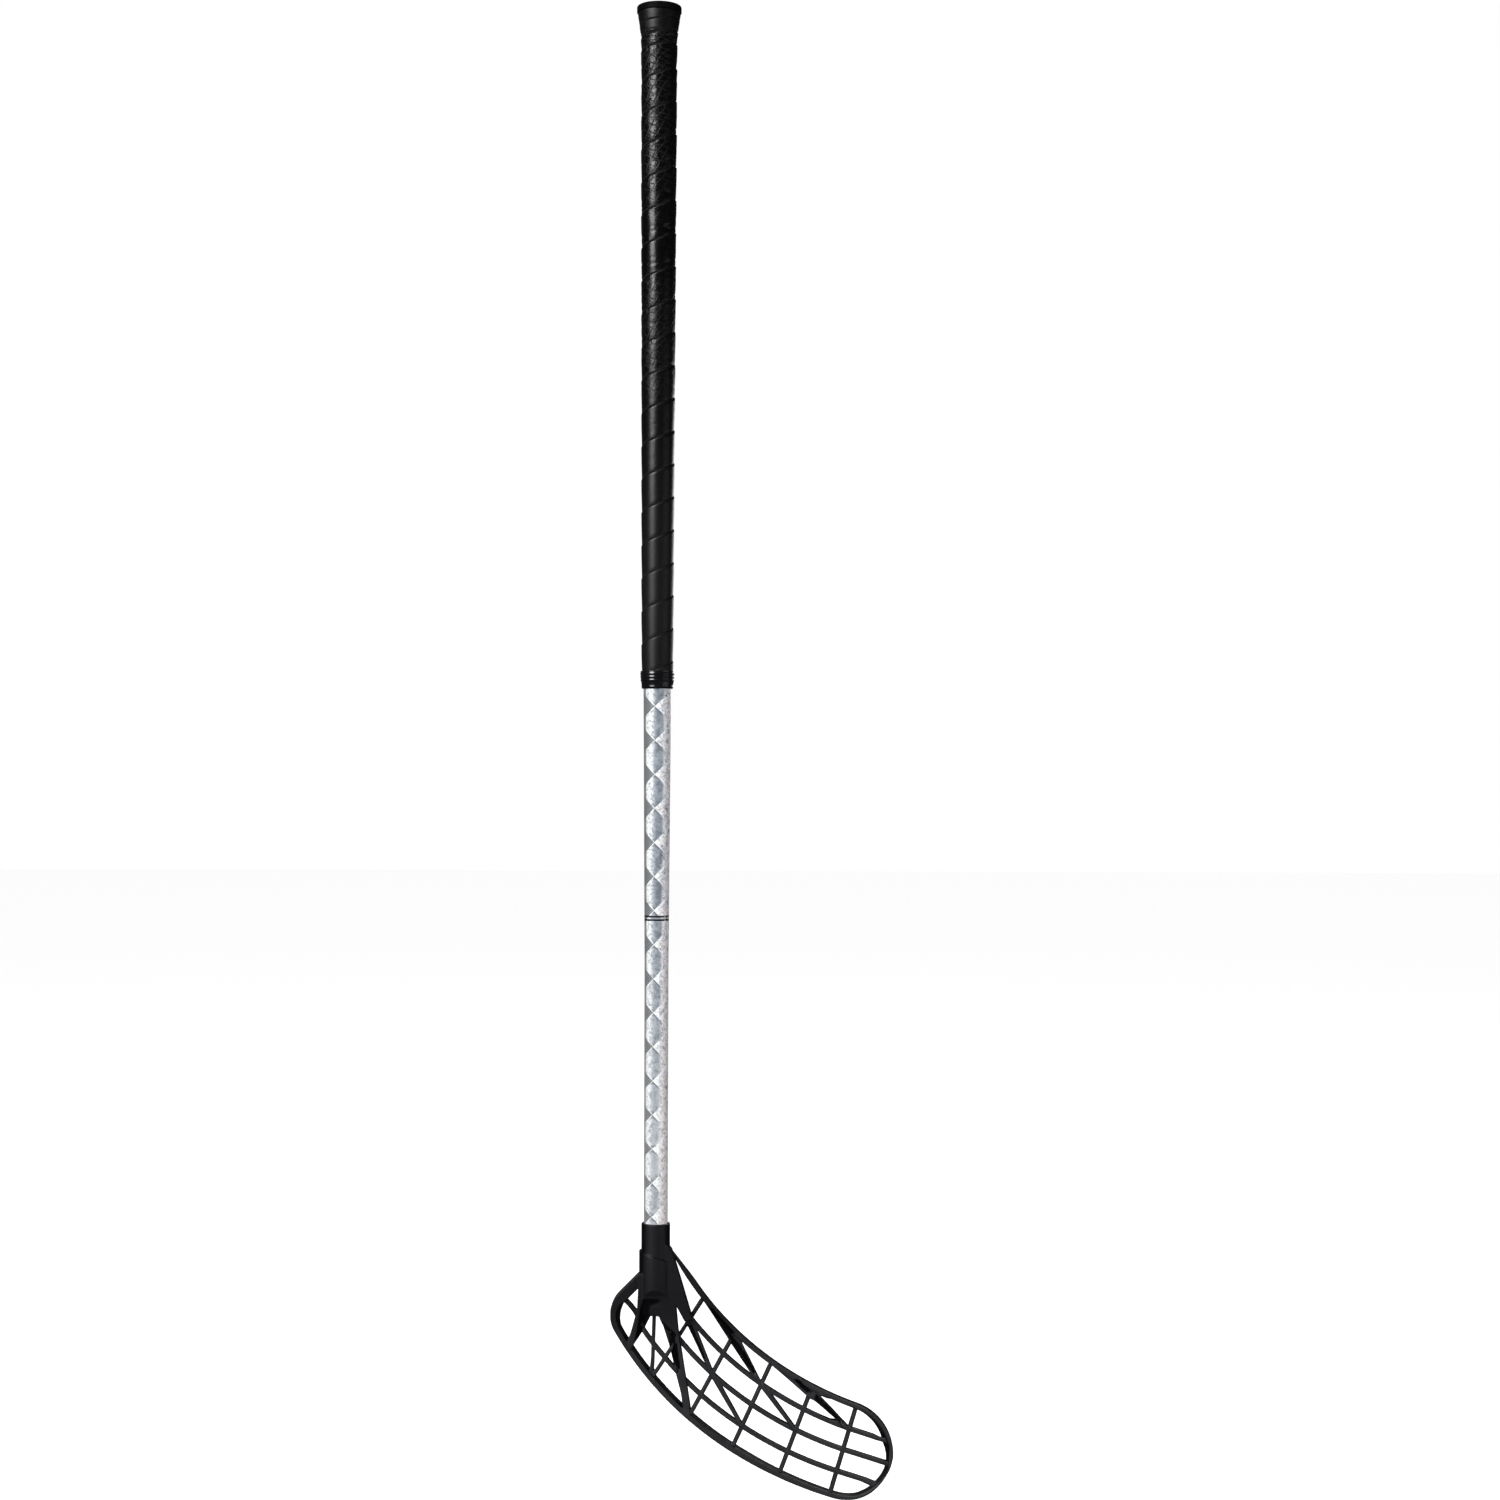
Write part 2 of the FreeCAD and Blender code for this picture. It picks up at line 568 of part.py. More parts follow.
def socket_body():
    """Neck tube and its wider lower part, whose foot leans back to the legs, before boring."""
    neck = Part.makeCylinder(NECK_RADIUS, SOCKET_DEPTH, Vector(0, 0, SHAFT_END))
    foot_bottom = FOOT_TOP - FOOT_LENGTH
    lower = Part.makeCylinder(SHOULDER_RADIUS, SHOULDER_TOP - foot_bottom, blade_point(0, foot_bottom))
    slope = [
        blade_point(-SHOULDER_RADIUS, SHOULDER_TOP),
        blade_point(SHOULDER_RADIUS, SHOULDER_TOP - SHOULDER_SLOPE),
        blade_point(SHOULDER_RADIUS, SHOULDER_TOP),
    ]
    slope_cut = polygon(slope)
    slope_cut.translate(Vector(0, -SHOULDER_RADIUS, 0))
    lower = lower.cut(slope_cut.extrude(Vector(0, 2 * SHOULDER_RADIUS, 0)))
    lean_start, lean_end = FOOT_TOP + CUT_OVERRUN, FOOT_TOP - FOOT_LEAN_DROP
    half = [
        (foot_depth(lean_start), SHOULDER_TOP),
        (foot_depth(lean_start), lean_start),
        (foot_depth(lean_end), lean_end),
        (FOOT_DEPTH / 2, foot_bottom),
    ]
    profile = half + [(-depth, rise) for depth, rise in half[::-1]]
    points = [Vector(-SHOULDER_RADIUS, depth, SHAFT_END + rise) for depth, rise in profile]
    return [neck, lower.common(polygon(points).extrude(Vector(2 * SHOULDER_RADIUS, 0, 0)))]


def blade():
    """One moulding: rim, rib grid, braces, legs and the socket for the shaft."""
    inside = blade_outline(UPPER_RIM_WIDTH, LOWER_RIM_WIDTH, HEEL_RIM_WIDTH)
    rim = blade_outline().cut(inside).Faces
    bevel = joined([rim_top()])
    pieces = socket_body()
    layers = (
        (rim, hooked_slab(RIM_DEPTH), bevel),
        (cross_ribs() + long_ribs(), hooked_slab(RIB_DEPTH), []),
        (braces(), hooked_slab(BRACE_DEPTH), []),
        (legs(), leg_wedge(), bevel + leg_hollows()),
    )
    for faces, body, waste in layers:
        for column in joined(faces):
            layer = column.common(body)
            pieces += layer.cut(waste).Solids if waste else layer.Solids
    moulding = pieces[0].multiFuse(pieces[1:])
    bore_bottom = SHAFT_END - BUTT_GAP
    bore_length = NECK_TOP + CUT_OVERRUN - bore_bottom
    bore = Part.makeCylinder(SOCKET_RADIUS, bore_length, Vector(0, 0, bore_bottom))
    return moulding.cut(bore).removeSplitter()


PIECES = {
    "shaft_tube": shaft_tube,
    "print_film": print_film,
    "end_cap": end_cap,
    "flare_ring": flare_ring,
    "grip_tape": grip_tape,
    "grip_collar": grip_collar,
    "blade": blade,
}

os.makedirs("parts", exist_ok=True)
for name, make in PIECES.items():
    shape = make()
    solids = shape.Solids
    print("%-12s solids %d valid %s volume %.1f mm3" % (name, len(solids), shape.isValid(), shape.Volume))
    solids[0].exportStep("parts/%s.step" % name)
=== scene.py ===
import math

import bmesh
import bpy
import numpy
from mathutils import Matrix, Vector


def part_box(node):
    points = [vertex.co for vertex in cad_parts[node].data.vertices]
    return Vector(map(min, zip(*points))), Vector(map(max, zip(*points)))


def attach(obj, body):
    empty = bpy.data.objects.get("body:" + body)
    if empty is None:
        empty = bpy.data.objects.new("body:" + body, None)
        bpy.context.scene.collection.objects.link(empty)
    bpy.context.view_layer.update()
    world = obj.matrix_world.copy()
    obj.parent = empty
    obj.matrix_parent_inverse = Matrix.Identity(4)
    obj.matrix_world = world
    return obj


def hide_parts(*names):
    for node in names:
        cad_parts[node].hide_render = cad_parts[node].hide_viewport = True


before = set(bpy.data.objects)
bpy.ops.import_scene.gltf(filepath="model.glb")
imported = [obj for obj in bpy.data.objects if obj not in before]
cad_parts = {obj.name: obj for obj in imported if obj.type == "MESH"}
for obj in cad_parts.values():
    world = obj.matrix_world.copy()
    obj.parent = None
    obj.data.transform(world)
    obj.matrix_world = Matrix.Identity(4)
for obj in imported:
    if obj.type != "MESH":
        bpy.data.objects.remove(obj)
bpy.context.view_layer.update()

# A floorball stick: taped grip with a flared end, silver shaft and an open black blade.
# Lengths are in metres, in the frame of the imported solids. The camera looks along +Y.
MM = 0.001
FULL_TURN = 2 * math.pi
MERGE_DISTANCE = 0.001 * MM

# Heights along the shaft, read from the solids
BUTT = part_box("end_cap")[1].z
PLUG_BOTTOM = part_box("end_cap")[0].z
SHAFT_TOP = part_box("shaft_tube")[1].z
SHAFT_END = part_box("shaft_tube")[0].z
BUTT_GAP = 0.3 * MM
TAPE_TOP = SHAFT_TOP - BUTT_GAP
TAPE_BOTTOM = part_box("grip_tape")[0].z
FLARE_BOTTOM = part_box("flare_ring")[0].z
COLLAR_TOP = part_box("grip_collar")[1].z
COLLAR_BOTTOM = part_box("grip_collar")[0].z
FILM_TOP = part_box("print_film")[1].z
FILM_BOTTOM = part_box("print_film")[0].z
BLADE_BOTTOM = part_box("blade")[0].z

# Shaft tube and film
TUBE_TOP_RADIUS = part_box("shaft_tube")[1].x
TUBE_WAIST_RADIUS = 10.5 * MM
TUBE_END_RADIUS = 9.0 * MM
TUBE_WALL = 1.3 * MM
PARALLEL_TOP = SHAFT_END + 250 * MM
BOND_GAP = 0.1 * MM
FILM_THICKNESS = 0.2 * MM
TURN_SEGMENTS = 128
TURNED_SHARP_ANGLE = math.radians(32)

# End cap
CAP_RADIUS = 17.4 * MM
CAP_ROUNDING = 1.5 * MM
PLUG_RADIUS = 10.91 * MM
PLUG_WALL = 1.6 * MM

# Grip tape
FLARE_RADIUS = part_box("flare_ring")[1].x
FLARE_FOOT_RADIUS = 12.84 * MM
GRIP_TURNS = 19
KNOB_TURNS = 3
KNOB_PITCH = 9.7 * MM
GRIP_PITCH = (TAPE_TOP - TAPE_BOTTOM - KNOB_TURNS * KNOB_PITCH) / GRIP_TURNS
TAPE_START_ANGLE = math.radians(196)
TAPE_FIRST_TURN = 0.05
TAPE_LAST_TURN = GRIP_TURNS + KNOB_TURNS + 0.75
TAPE_STEPS_PER_TURN = 72
TAPE_SHARP_ANGLE = math.radians(50)
KNOB_TAPE_HEIGHT = 1.65 * MM
KNOB_EVENNESS = 0.8
KNOB_SMOOTHNESS = 0.7

# The tape's section as (share of the pitch from the lower seam, offset, height above the seat).
# Its lower edge is a thin tongue under the thick upper edge of the turn below, which leaves a groove.
TAPE_LOWER_EDGE = (
    (0.0, -1.6 * MM, 0.05 * MM),
    (0.0, -1.6 * MM, 0.5 * MM),
    (0.0, -0.2 * MM, 0.55 * MM),
    (0.0, -0.08 * MM, 1.15 * MM),
    (0.0, 0.9 * MM, 1.25 * MM),
    (0.0, 1.5 * MM, 1.42 * MM),
)
TAPE_UPPER_EDGE = (
    (1.0, -3.2 * MM, 1.88 * MM),
    (1.0, -1.6 * MM, 1.93 * MM),
    (1.0, -0.8 * MM, 1.86 * MM),
    (1.0, -0.35 * MM, 1.64 * MM),
    (1.0, -0.15 * MM, 1.25 * MM),
    (1.0, -0.15 * MM, 0.66 * MM),
    (1.0, -1.8 * MM, 0.62 * MM),
    (1.0, -1.9 * MM, 0.05 * MM),
)
TAPE_FACE_SHARES = (0.16, 0.64)
TAPE_FACE_HEIGHTS = (1.46 * MM, 1.82 * MM)
TAPE_FACE_STEPS = 12
TAPE_FACE_START = (1.25 * MM, 1.4 * MM)     # heights in the section where its edge becomes its face
TAPE_SOFT_START = (1.0 * MM, 1.4 * MM)      # heights in the section where wrinkles come in

# Wrinkles and creases in the tape: depth, waves per metre and stretch of the noise they follow
TAPE_WRINKLE = 0.14 * MM
WRINKLE_SCALE = 110
WRINKLE_STRETCH = (1, 1, 0.6)
TAPE_CREASE = 0.4 * MM
CREASE_SCALE = 90
CREASE_STRETCH = (0.4, 0.4, 1.6)
CREASE_WIDTH = (0, 0.05)

# Ribbed collar
COLLAR_TOP_RADIUS = 13.1 * MM
COLLAR_FOOT_RADIUS = 11.85 * MM
COLLAR_BORE_RADIUS = 10.9 * MM
COLLAR_LIP_WALL = 0.45 * MM
COLLAR_RIB_SHARES = (0.16, 0.345, 0.525, 0.9)
COLLAR_RIB_HEIGHT = 0.3 * MM
COLLAR_RIB_WIDTH = 1.7 * MM
COLLAR_STEPS = 96

# Blade
BLADE_VOXEL = 0.4 * MM
BLADE_SMOOTHING = 0.5
BLADE_SMOOTHING_PASSES = 5
BLADE_GROWTH = 0.2 * MM
BLADE_KEEP_SHARE = 0.25
HOOK_START = 45 * MM
HOOK_RADIUS = 480 * MM
RIM_DEPTH = 8 * MM

# The arcs of the rim, in millimetres and degrees: centre (x, z), radius, which side of the arc is
# inside, first and last angle, rim width, and at even steps along the arc how far the inner wall is
# out in front and in behind, and how far the outer wall is in.
RIM_ARCS = (
    ((-10.4, -949.9), 24.8, 1, 135, 210.2, 6.5, (0, 2.2, 2.2, 1.6), (0, 1.2, 1.2, 0.4), (0, 0)),
    ((201.9, -826.2), 270.5, 1, 210.2, 256.3, 5.5, (1.6, 1.6, 1.4, 1.9), (0.4, 0.2, 0, -1.6), (0, 0)),
    ((146.7, -1052.3), 37.8, 1, 256.3, 433.4, 4.9, (1.9, 2.6, 1.8, 2.4, 1.6, 1.3, 1.0),
     (-1.6, -2.5, -1.1, -0.6, 2.6, 1.7, 0.8), (0, 0, 0.05, 0.5, 1.25, 1.55, 0.8, 0.1, 0, 0, 0, 0, 0)),
    ((224.7, -791.4), 234.5, -1, 204.3, 253.4, 4.2, (0, 0.8, 0.8, 1.0), (0, 0.4, 0.4, 0.8), (0, 0)),
)
RIM_LEAN_START = 1 * MM     # from the edge
RIM_LEAN_FADE = 7 * MM      # past the rim

# Hollows in the front beside ribs and legs, as corners (x, z) in millimetres
HOLLOWS = (
    ((40.1, -940.8), (62.2, -963.8), (59.5, -967.4), (55.6, -967.4)),
    ((59.5, -969.3), (66.5, -972.1), (79.3, -995.8), (77.2, -997.1), (58.9, -971.9)),
    ((24.4, -957.3), (29.8, -959.8), (40.1, -985.5), (38.9, -986.7), (22.9, -959.3)),
    ((106.7, -998.0), (111.5, -998.8), (122.2, -1007.6), (119.8, -1010.1)),
    ((120.6, -1008.9), (126.4, -1009.6), (146.8, -1030.5), (143.9, -1030.7), (120.3, -1011.0)),
    ((-9.2, -935.6), (-2.7, -945.8), (-7.5, -956.0), (-12.4, -956.0), (-11.4, -944.8)),
    ((-13.5, -958.4), (-9.2, -959.4), (-15.0, -973.5), (-17.2, -972.6)),
    ((4.7, -953.5), (8.8, -956.9), (16.8, -964.4), (12.0, -974.9), (10.3, -974.4)),
    ((13.7, -973.9), (17.1, -971.0), (19.6, -992.9), (18.5, -993.4), (13.6, -985.6)),
    ((13.1, -905.8), (15.5, -911.6), (22.4, -937.9), (16.6, -936.9), (13.6, -932.1)),
    ((16.4, -937.9), (22.2, -937.7), (26.5, -949.1), (23.9, -954.9)),
    ((-15.6, -973.8), (-2.8, -988.6), (-4.5, -991.0), (-17.2, -975.8)),
)
HOLLOW_DEPTH = 2.2 * MM
HOLLOW_EASE = 0.8 * MM
HOLLOW_FRONT = (0.5, 0.8)                   # shares of the rim's depth over which hollows come in

# Ribs that run across the blade, and the web nearest the tip, as its middle line
CROSS_RIB_GROWTH = 0.2 * MM
CROSS_RIB_CENTRE = (224.7 * MM, -791.4 * MM)
CROSS_RIB_START = 25 * MM
CROSS_RIB_FACING = (0.8, 0.95)              # of a wall, along the blade
CROSS_RIB_INSIDE = (5 * MM, 6.5 * MM)       # from the edge
TIP_WEB = ((123.2 * MM, -1009.4 * MM), (147.8 * MM, -1031.4 * MM))
TIP_WEB_SLIMMING = 0.28
TIP_WEB_REACH = (4 * MM, 6 * MM)
TIP_WEB_ENDS = 0.15

# Heights over which a change on the surface comes in or goes
KNOB_EDGE = (FLARE_BOTTOM - KNOB_PITCH / 4, FLARE_BOTTOM + KNOB_PITCH / 4)
UPPER_WEB_START = (-120 * MM, -40 * MM)
MIDDLE_WEB_END = (-170 * MM, -120 * MM)
MIDDLE_WEB_START = (-270 * MM, -200 * MM)
HANDLED_START = (-200 * MM, -100 * MM)
CREASES_START = (-350 * MM, -100 * MM)
WORN_START = (-420 * MM, -200 * MM)
UPPER_FILM_START = (-850 * MM, -600 * MM)
NECK_START = (-985 * MM, -945 * MM)

# Silver film pattern: tapes crossing each other round the shaft. Angles are in radians.
CROSSING_PITCH = 26.45 * MM
CROSSING_HEIGHT = -475.8 * MM
CROSSING_ANGLE = math.radians(-8)
CROSSING_DRIFT = math.radians(25)           # per metre of height
CROSSING_SLOPE = math.radians(5.9) / MM     # of the tapes that cross, along the shaft
CROSSING_WIDTH = CROSSING_PITCH * CROSSING_SLOPE
HEEL_STEEPNESS = 0.27                       # more slope on the heel side, low on the shaft
EDGE_BLUR = (-0.03, 0.03)
LENS_SHADE = (-0.42, 0.06)                  # white before it, steel past it
LENS_CORE = (0.0, 0.25)
LENS_APEX = (0.05, 0.15)                    # shares of the pitch
LOWER_LENS_END = (0.3, 0.8)
UPPER_LENS_END = (0.58, 0.78)
PALE_WEDGE_END = (0.5, 0.65)
PALE_WEDGE_SHIFT = 0.14                     # high on the shaft
PALE_BAND = (0.1, 0.45)
HATCHES = 4.2                               # per radian
HATCH_BLUR = (0.25, 0.75)
FOLD_OFFSET = 0.07
FOLD_BLUR = (0.02, 0.1)
FOLD_END = (0.3, 0.6)
GLINT_OFFSET = 0.05
GLINT_BLUR = (0.02, 0.07)
GLINT_END = (0.5, 0.9)
# Angles past which painted shade greys the film's flank on the heel side
LOWER_EDGE_SHADE_START = (0.95, 1.08)
UPPER_EDGE_SHADE_START = (0.86, 0.99)
SCRATCH_BLUR = (0.004, 0.016)
SCRATCH_START = (0.3, 0.6)
RING_HEIGHT = -640.6 * MM
RING_HALF_GAP = 1.35 * MM
RING_HALF_WIDTH = 0.75 * MM
RING_BREAK_ANGLE = math.radians(45)
RING_BREAK_BLUR = (0.02, 0.06)

# Colours of the film. Pairs are for its lower and its upper part.
FOIL_WHITE = (0.89, 0.91, 0.92, 1)
GLINT_WHITE = (0.95, 0.96, 0.97, 1)
STEEL = ((0.43, 0.46, 0.49, 1), (0.29, 0.33, 0.37, 1))
DARK_STEEL = (0.1, 0.12, 0.15, 1)
SIDE_SILVER = ((0.84, 0.81, 0.8, 1), (0.78, 0.76, 0.78, 1))
SIDE_CLOUD = (0.45, 0.48, 0.55, 1)
SPECK_GREY = (0.2, 0.2, 0.22, 1)
HATCH_DARK = ((0.07, 0.075, 0.07, 1), (0.05, 0.055, 0.055, 1))
HATCH_LIGHT = ((0.4, 0.41, 0.41, 1), (0.3, 0.32, 0.32, 1))
# Painted shade on the film's heel-side flank
EDGE_SHADE_GREY = ((0.34, 0.35, 0.34, 1), (0.19, 0.2, 0.2, 1))
WEAR_GREY = (0.16, 0.17, 0.19, 1)
INK_BLACK = (0.012, 0.012, 0.014, 1)

# Other colours. Pairs are the darkest and the lightest.
COMPOSITE_COLOURS = ((0.012, 0.012, 0.014, 1), (0.045, 0.045, 0.05, 1))
CAP_COLOURS = ((0.0022, 0.0022, 0.0027, 1), (0.004, 0.004, 0.0045, 1))
COLLAR_COLOURS = ((0.003, 0.003, 0.004, 1), (0.005, 0.005, 0.006, 1))
FOAM_COLOURS = ((0.02, 0.02, 0.02, 1), (0.035, 0.035, 0.035, 1))
BLADE_COLOURS = ((0.015, 0.0155, 0.017, 1), (0.021, 0.0215, 0.0235, 1))
# Painted shade: the neck is the same plastic, coloured darker
BLADE_NECK_SHADE_COLOUR = (0.007, 0.007, 0.0085, 1)
# Painted shade: walls and hollows of the blade go nearly black
BLADE_WALL_SHADE_COLOUR = (0.0015, 0.0015, 0.002, 1)
LOWER_TAPE_COLOURS = ((0.004, 0.0038, 0.004, 1), (0.007, 0.0065, 0.0068, 1))
WORN_TAPE_COLOURS = ((0.0008, 0.0008, 0.001, 1), (0.0018, 0.0018, 0.002, 1))
FLOOR_COLOURS = ((0.9, 0.9, 0.9, 1), (0.95, 0.95, 0.95, 1))
WHITE = (1, 1, 1, 1)
DARK_ROOM = (0.02, 0.02, 0.021, 1)

# Grain of the finishes: scales of noise in waves per metre, and spreads, which are the values of
# a noise between which what follows it comes in
SPARK_SCALE = 2600
MOULD_CLOUD_SCALE = 60
MOULD_CLOUD_SPREAD = (0.3, 0.75)
TOW_CLOUD_SCALE = 300
TAPE_CLOUD_SCALE = 90
TAPE_EMBOSS_SPREAD = (0.3, 0.45)
TAPE_GRAIN_SCALE = 900
TAPE_FLECK_SCALE = 420
TAPE_FLECK_SPREAD = (0.48, 0.6)
FILM_CLOUD_SCALE = 160
FILM_CORE_SPREAD = (0.42, 0.6)
FILM_SIDE_SPREAD = (0.48, 0.62)
FILM_CRUMPLE_SCALE = 430
FILM_CRUMPLE_SPREAD = (0.48, 0.64)
FILM_GRAIN_SCALE = 900
FILM_GRAIN_SPREAD = (0.5, 0.68)
FILM_SPECK_SCALE = 300
FILM_SPECK_SPREAD = (0.58, 0.66)
FILM_SCRATCH_SCALE = 75
FILM_SCRATCH_SPREAD = (0.52, 0.58)
FLOOR_CLOUD_SCALE = 3

# Weave of the tube, web of the tape and faces of the blade
TOWS_PER_RADIAN = 12
TOW_RISE = 2.5 * MM
WEB_LENGTH = 9.5 * MM
WEBS_ACROSS = 3
WEB_WIDTH = (0.03, 0.1)
BLADE_FACE_START = (0.55, 0.85)             # how squarely a wall faces front or back

# Depth of the finishes' grain, their roughness before it varies, and their shine
TOW_DEPTH = 0.05 * MM
COMPOSITE_ROUGHNESS = 0.32
COMPOSITE_COAT = 0.4
MOULD_GRAIN_DEPTH = 0.04 * MM
CAP_ROUGHNESS = 0.5
CAP_SHINE = 0.035
COLLAR_GRAIN_DEPTH = 0.005 * MM
COLLAR_ROUGHNESS = 0.2
COLLAR_SHINE = 0.9
FOAM_ROUGHNESS = 0.8
BLADE_GRAIN_DEPTH = 0.05 * MM
BLADE_WALL_ROUGHNESS = 0.28
TAPE_EMBOSS_DEPTH = 0.2 * MM
TAPE_ROUGHNESS = 0.42
GROOVE_ROUGHNESS = 0.9
FILM_CRUMPLE_DEPTH = 0.06 * MM
FILM_ROUGHNESS = 0.36
FILM_METAL = 0.15
FILM_COAT = 0.15
FLOOR_ROUGHNESS = 0.9

# Floor, camera and light
FLOOR_ROOM = 80 * MM
FLOOR_REACH = 12.0
FLOOR_GLOW = 0.95
CAMERA_PLACE = Vector((72.4, -2000, -509.6)) * MM
CAMERA_ROLL = math.radians(-0.17)
FRAME_HEIGHT = 1170 * MM
SENSOR_WIDTH = 36.0

# Soft boxes: name, place, what it is turned to, width, height, watts, and whether it is mirrored
SOFT_BOXES = (
    ("key_box", (-1.4, -1.75, 0.75), (0, 0, -0.1), 1.1, 1.05, 38, True),
    ("low_box", (-1.4, -1.75, -0.15), (0, 0, -0.3), 1.1, 0.7, 9, True),
    ("left_fill", (-1.5, -1.9, -0.6), (0, 0, -0.6), 1.0, 1.2, 42, False),
    ("fill_box", (1.7, -1.5, -0.8), (0, 0, -0.6), 1.0, 1.2, 41, False),
    ("side_box", (1.8, -0.9, -0.55), (0, 0, -0.5), 1.6, 0.9, 1.7, True),
    ("top_box", (-0.3, -0.5, 1.6), (0, 0, -0.6), 1.0, 1.0, 4, True),
    ("back_box", (0.35, 0.7, -0.3), (0.05, 0, -0.95), 0.6, 0.4, 2.2, True),
    ("rear_panel", (-0.9, 2.2, 0.0), (0, 0, -0.5), 2.5, 2.5, 1, True),
)


class Wire:
    """A socket of a node tree, so that maths on it can be written as maths."""

    def __init__(self, nodes, socket):
        self.nodes = nodes
        self.socket = socket

    def maths(self, operation, *values):
        return self.nodes.maths(operation, self, *values)

    def __add__(self, other):
        return self.maths("ADD", other)

    def __radd__(self, other):
        return self.nodes.maths("ADD", other, self)

    def __sub__(self, other):
        return self.maths("SUBTRACT", other)

    def __rsub__(self, other):
        return self.nodes.maths("SUBTRACT", other, self)

    def __mul__(self, other):
        return self.maths("MULTIPLY", other)

    def __rmul__(self, other):
        return self.nodes.maths("MULTIPLY", other, self)

    def __truediv__(self, other):
        return self.maths("DIVIDE", other)

    def __neg__(self):
        return self.maths("MULTIPLY", -1)

    def __lt__(self, other):
        return self.maths("LESS_THAN", other)

    def __abs__(self):
        return self.maths("ABSOLUTE")

    def fraction(self):
        return self.maths("FRACT")

    def stripes(self):
        """Goes from 1 at whole numbers to 0 half way between them."""
        return abs(self.fraction() - 0.5) * 2

    def at_least(self, other):
        return self.maths("MAXIMUM", other)

    def at_most(self, other):
        return self.maths("MINIMUM", other)

    def ramp(self, start, end):
        """Goes smoothly from 0 at start to 1 at end."""
        settings = {"interpolation_type": "SMOOTHSTEP"}
        sockets = {"Value": self, "From Min": start, "From Max": end}
        return self.nodes.wire("ShaderNodeMapRange", settings, sockets)


class Nodes:
    """Adds nodes to one node tree."""

    def __init__(self, tree):
        self.tree = tree

    def node(self, kind, settings=None, sockets=None):
        """A node of a kind, with its settings and the values or wires of its sockets."""
        made = self.tree.nodes.new(kind)
        for name, value in (settings or {}).items():
            setattr(made, name, value)
        for key, value in (sockets or {}).items():
            self.feed(made.inputs[key], value)
        return made

    def feed(self, socket, value):
        """Gives a socket a wire or a constant."""
        if isinstance(value, Wire):
            self.tree.links.new(value.socket, socket)
        else:
            socket.default_value = value

    def wire(self, kind, settings=None, sockets=None, out=0):
        return Wire(self, self.node(kind, settings, sockets).outputs[out])

    def maths(self, operation, *values):
        return self.wire("ShaderNodeMath", {"operation": operation}, dict(enumerate(values)))

    def split(self, vector):
        parts = self.node("ShaderNodeSeparateXYZ", sockets={0: vector})
        return [Wire(self, socket) for socket in parts.outputs]

    def joined(self, x, y, z):
        return self.wire("ShaderNodeCombineXYZ", sockets={0: x, 1: y, 2: z})

    def scaled(self, vector, scale):
        return self.wire("ShaderNodeVectorMath", {"operation": "MULTIPLY"}, {0: vector, 1: scale})

    def mixed(self, first, second, share):
        """Colour between two colours."""
        colours = {0: share, 6: first, 7: second}
        return self.wire("ShaderNodeMix", {"data_type": "RGBA"}, colours, out=2)

    def noise(self, place, scale, detail=3.0, roughness=0.55):
        sockets = {"Vector": place, "Scale": scale, "Detail": detail, "Roughness": roughness}
        return self.wire("ShaderNodeTexNoise", sockets=sockets)


class Finish(Nodes):
    """A material with one main shader, read in the object's own coordinates."""

    def __init__(self, name):
        self.material = bpy.data.materials.new(name)
        self.material.use_nodes = True
        super().__init__(self.material.node_tree)
        self.tree.nodes.clear()
        self.shader = self.node("ShaderNodeBsdfPrincipled")
        self.node("ShaderNodeOutputMaterial", sockets={"Surface": Wire(self, self.shader.outputs[0])})
        self.place = self.wire("ShaderNodeTexCoord", out="Object")
        self.x, self.y, self.z = self.split(self.place)

    def around(self):
        """Angle round the shaft, 0 at the front and growing towards the blade's tip."""
        return self.maths("ARCTAN2", self.x, -self.y)

    def attribute(self, name):
        return self.wire("ShaderNodeAttribute", {"attribute_name": name}, out="Fac")

    def grain(self, scale, *details):
        """Noise over the object's own coordinates."""
        return self.noise(self.place, scale, *details)

    def bump(self, height, distance, strength):
        sockets = {"Height": height, "Distance": distance, "Strength": strength}
        self.set(Normal=self.wire("ShaderNodeBump", sockets=sockets))

    def set(self, **sockets):
        for name, value in sockets.items():
            self.feed(self.shader.inputs[name.replace("_", " ")], value)


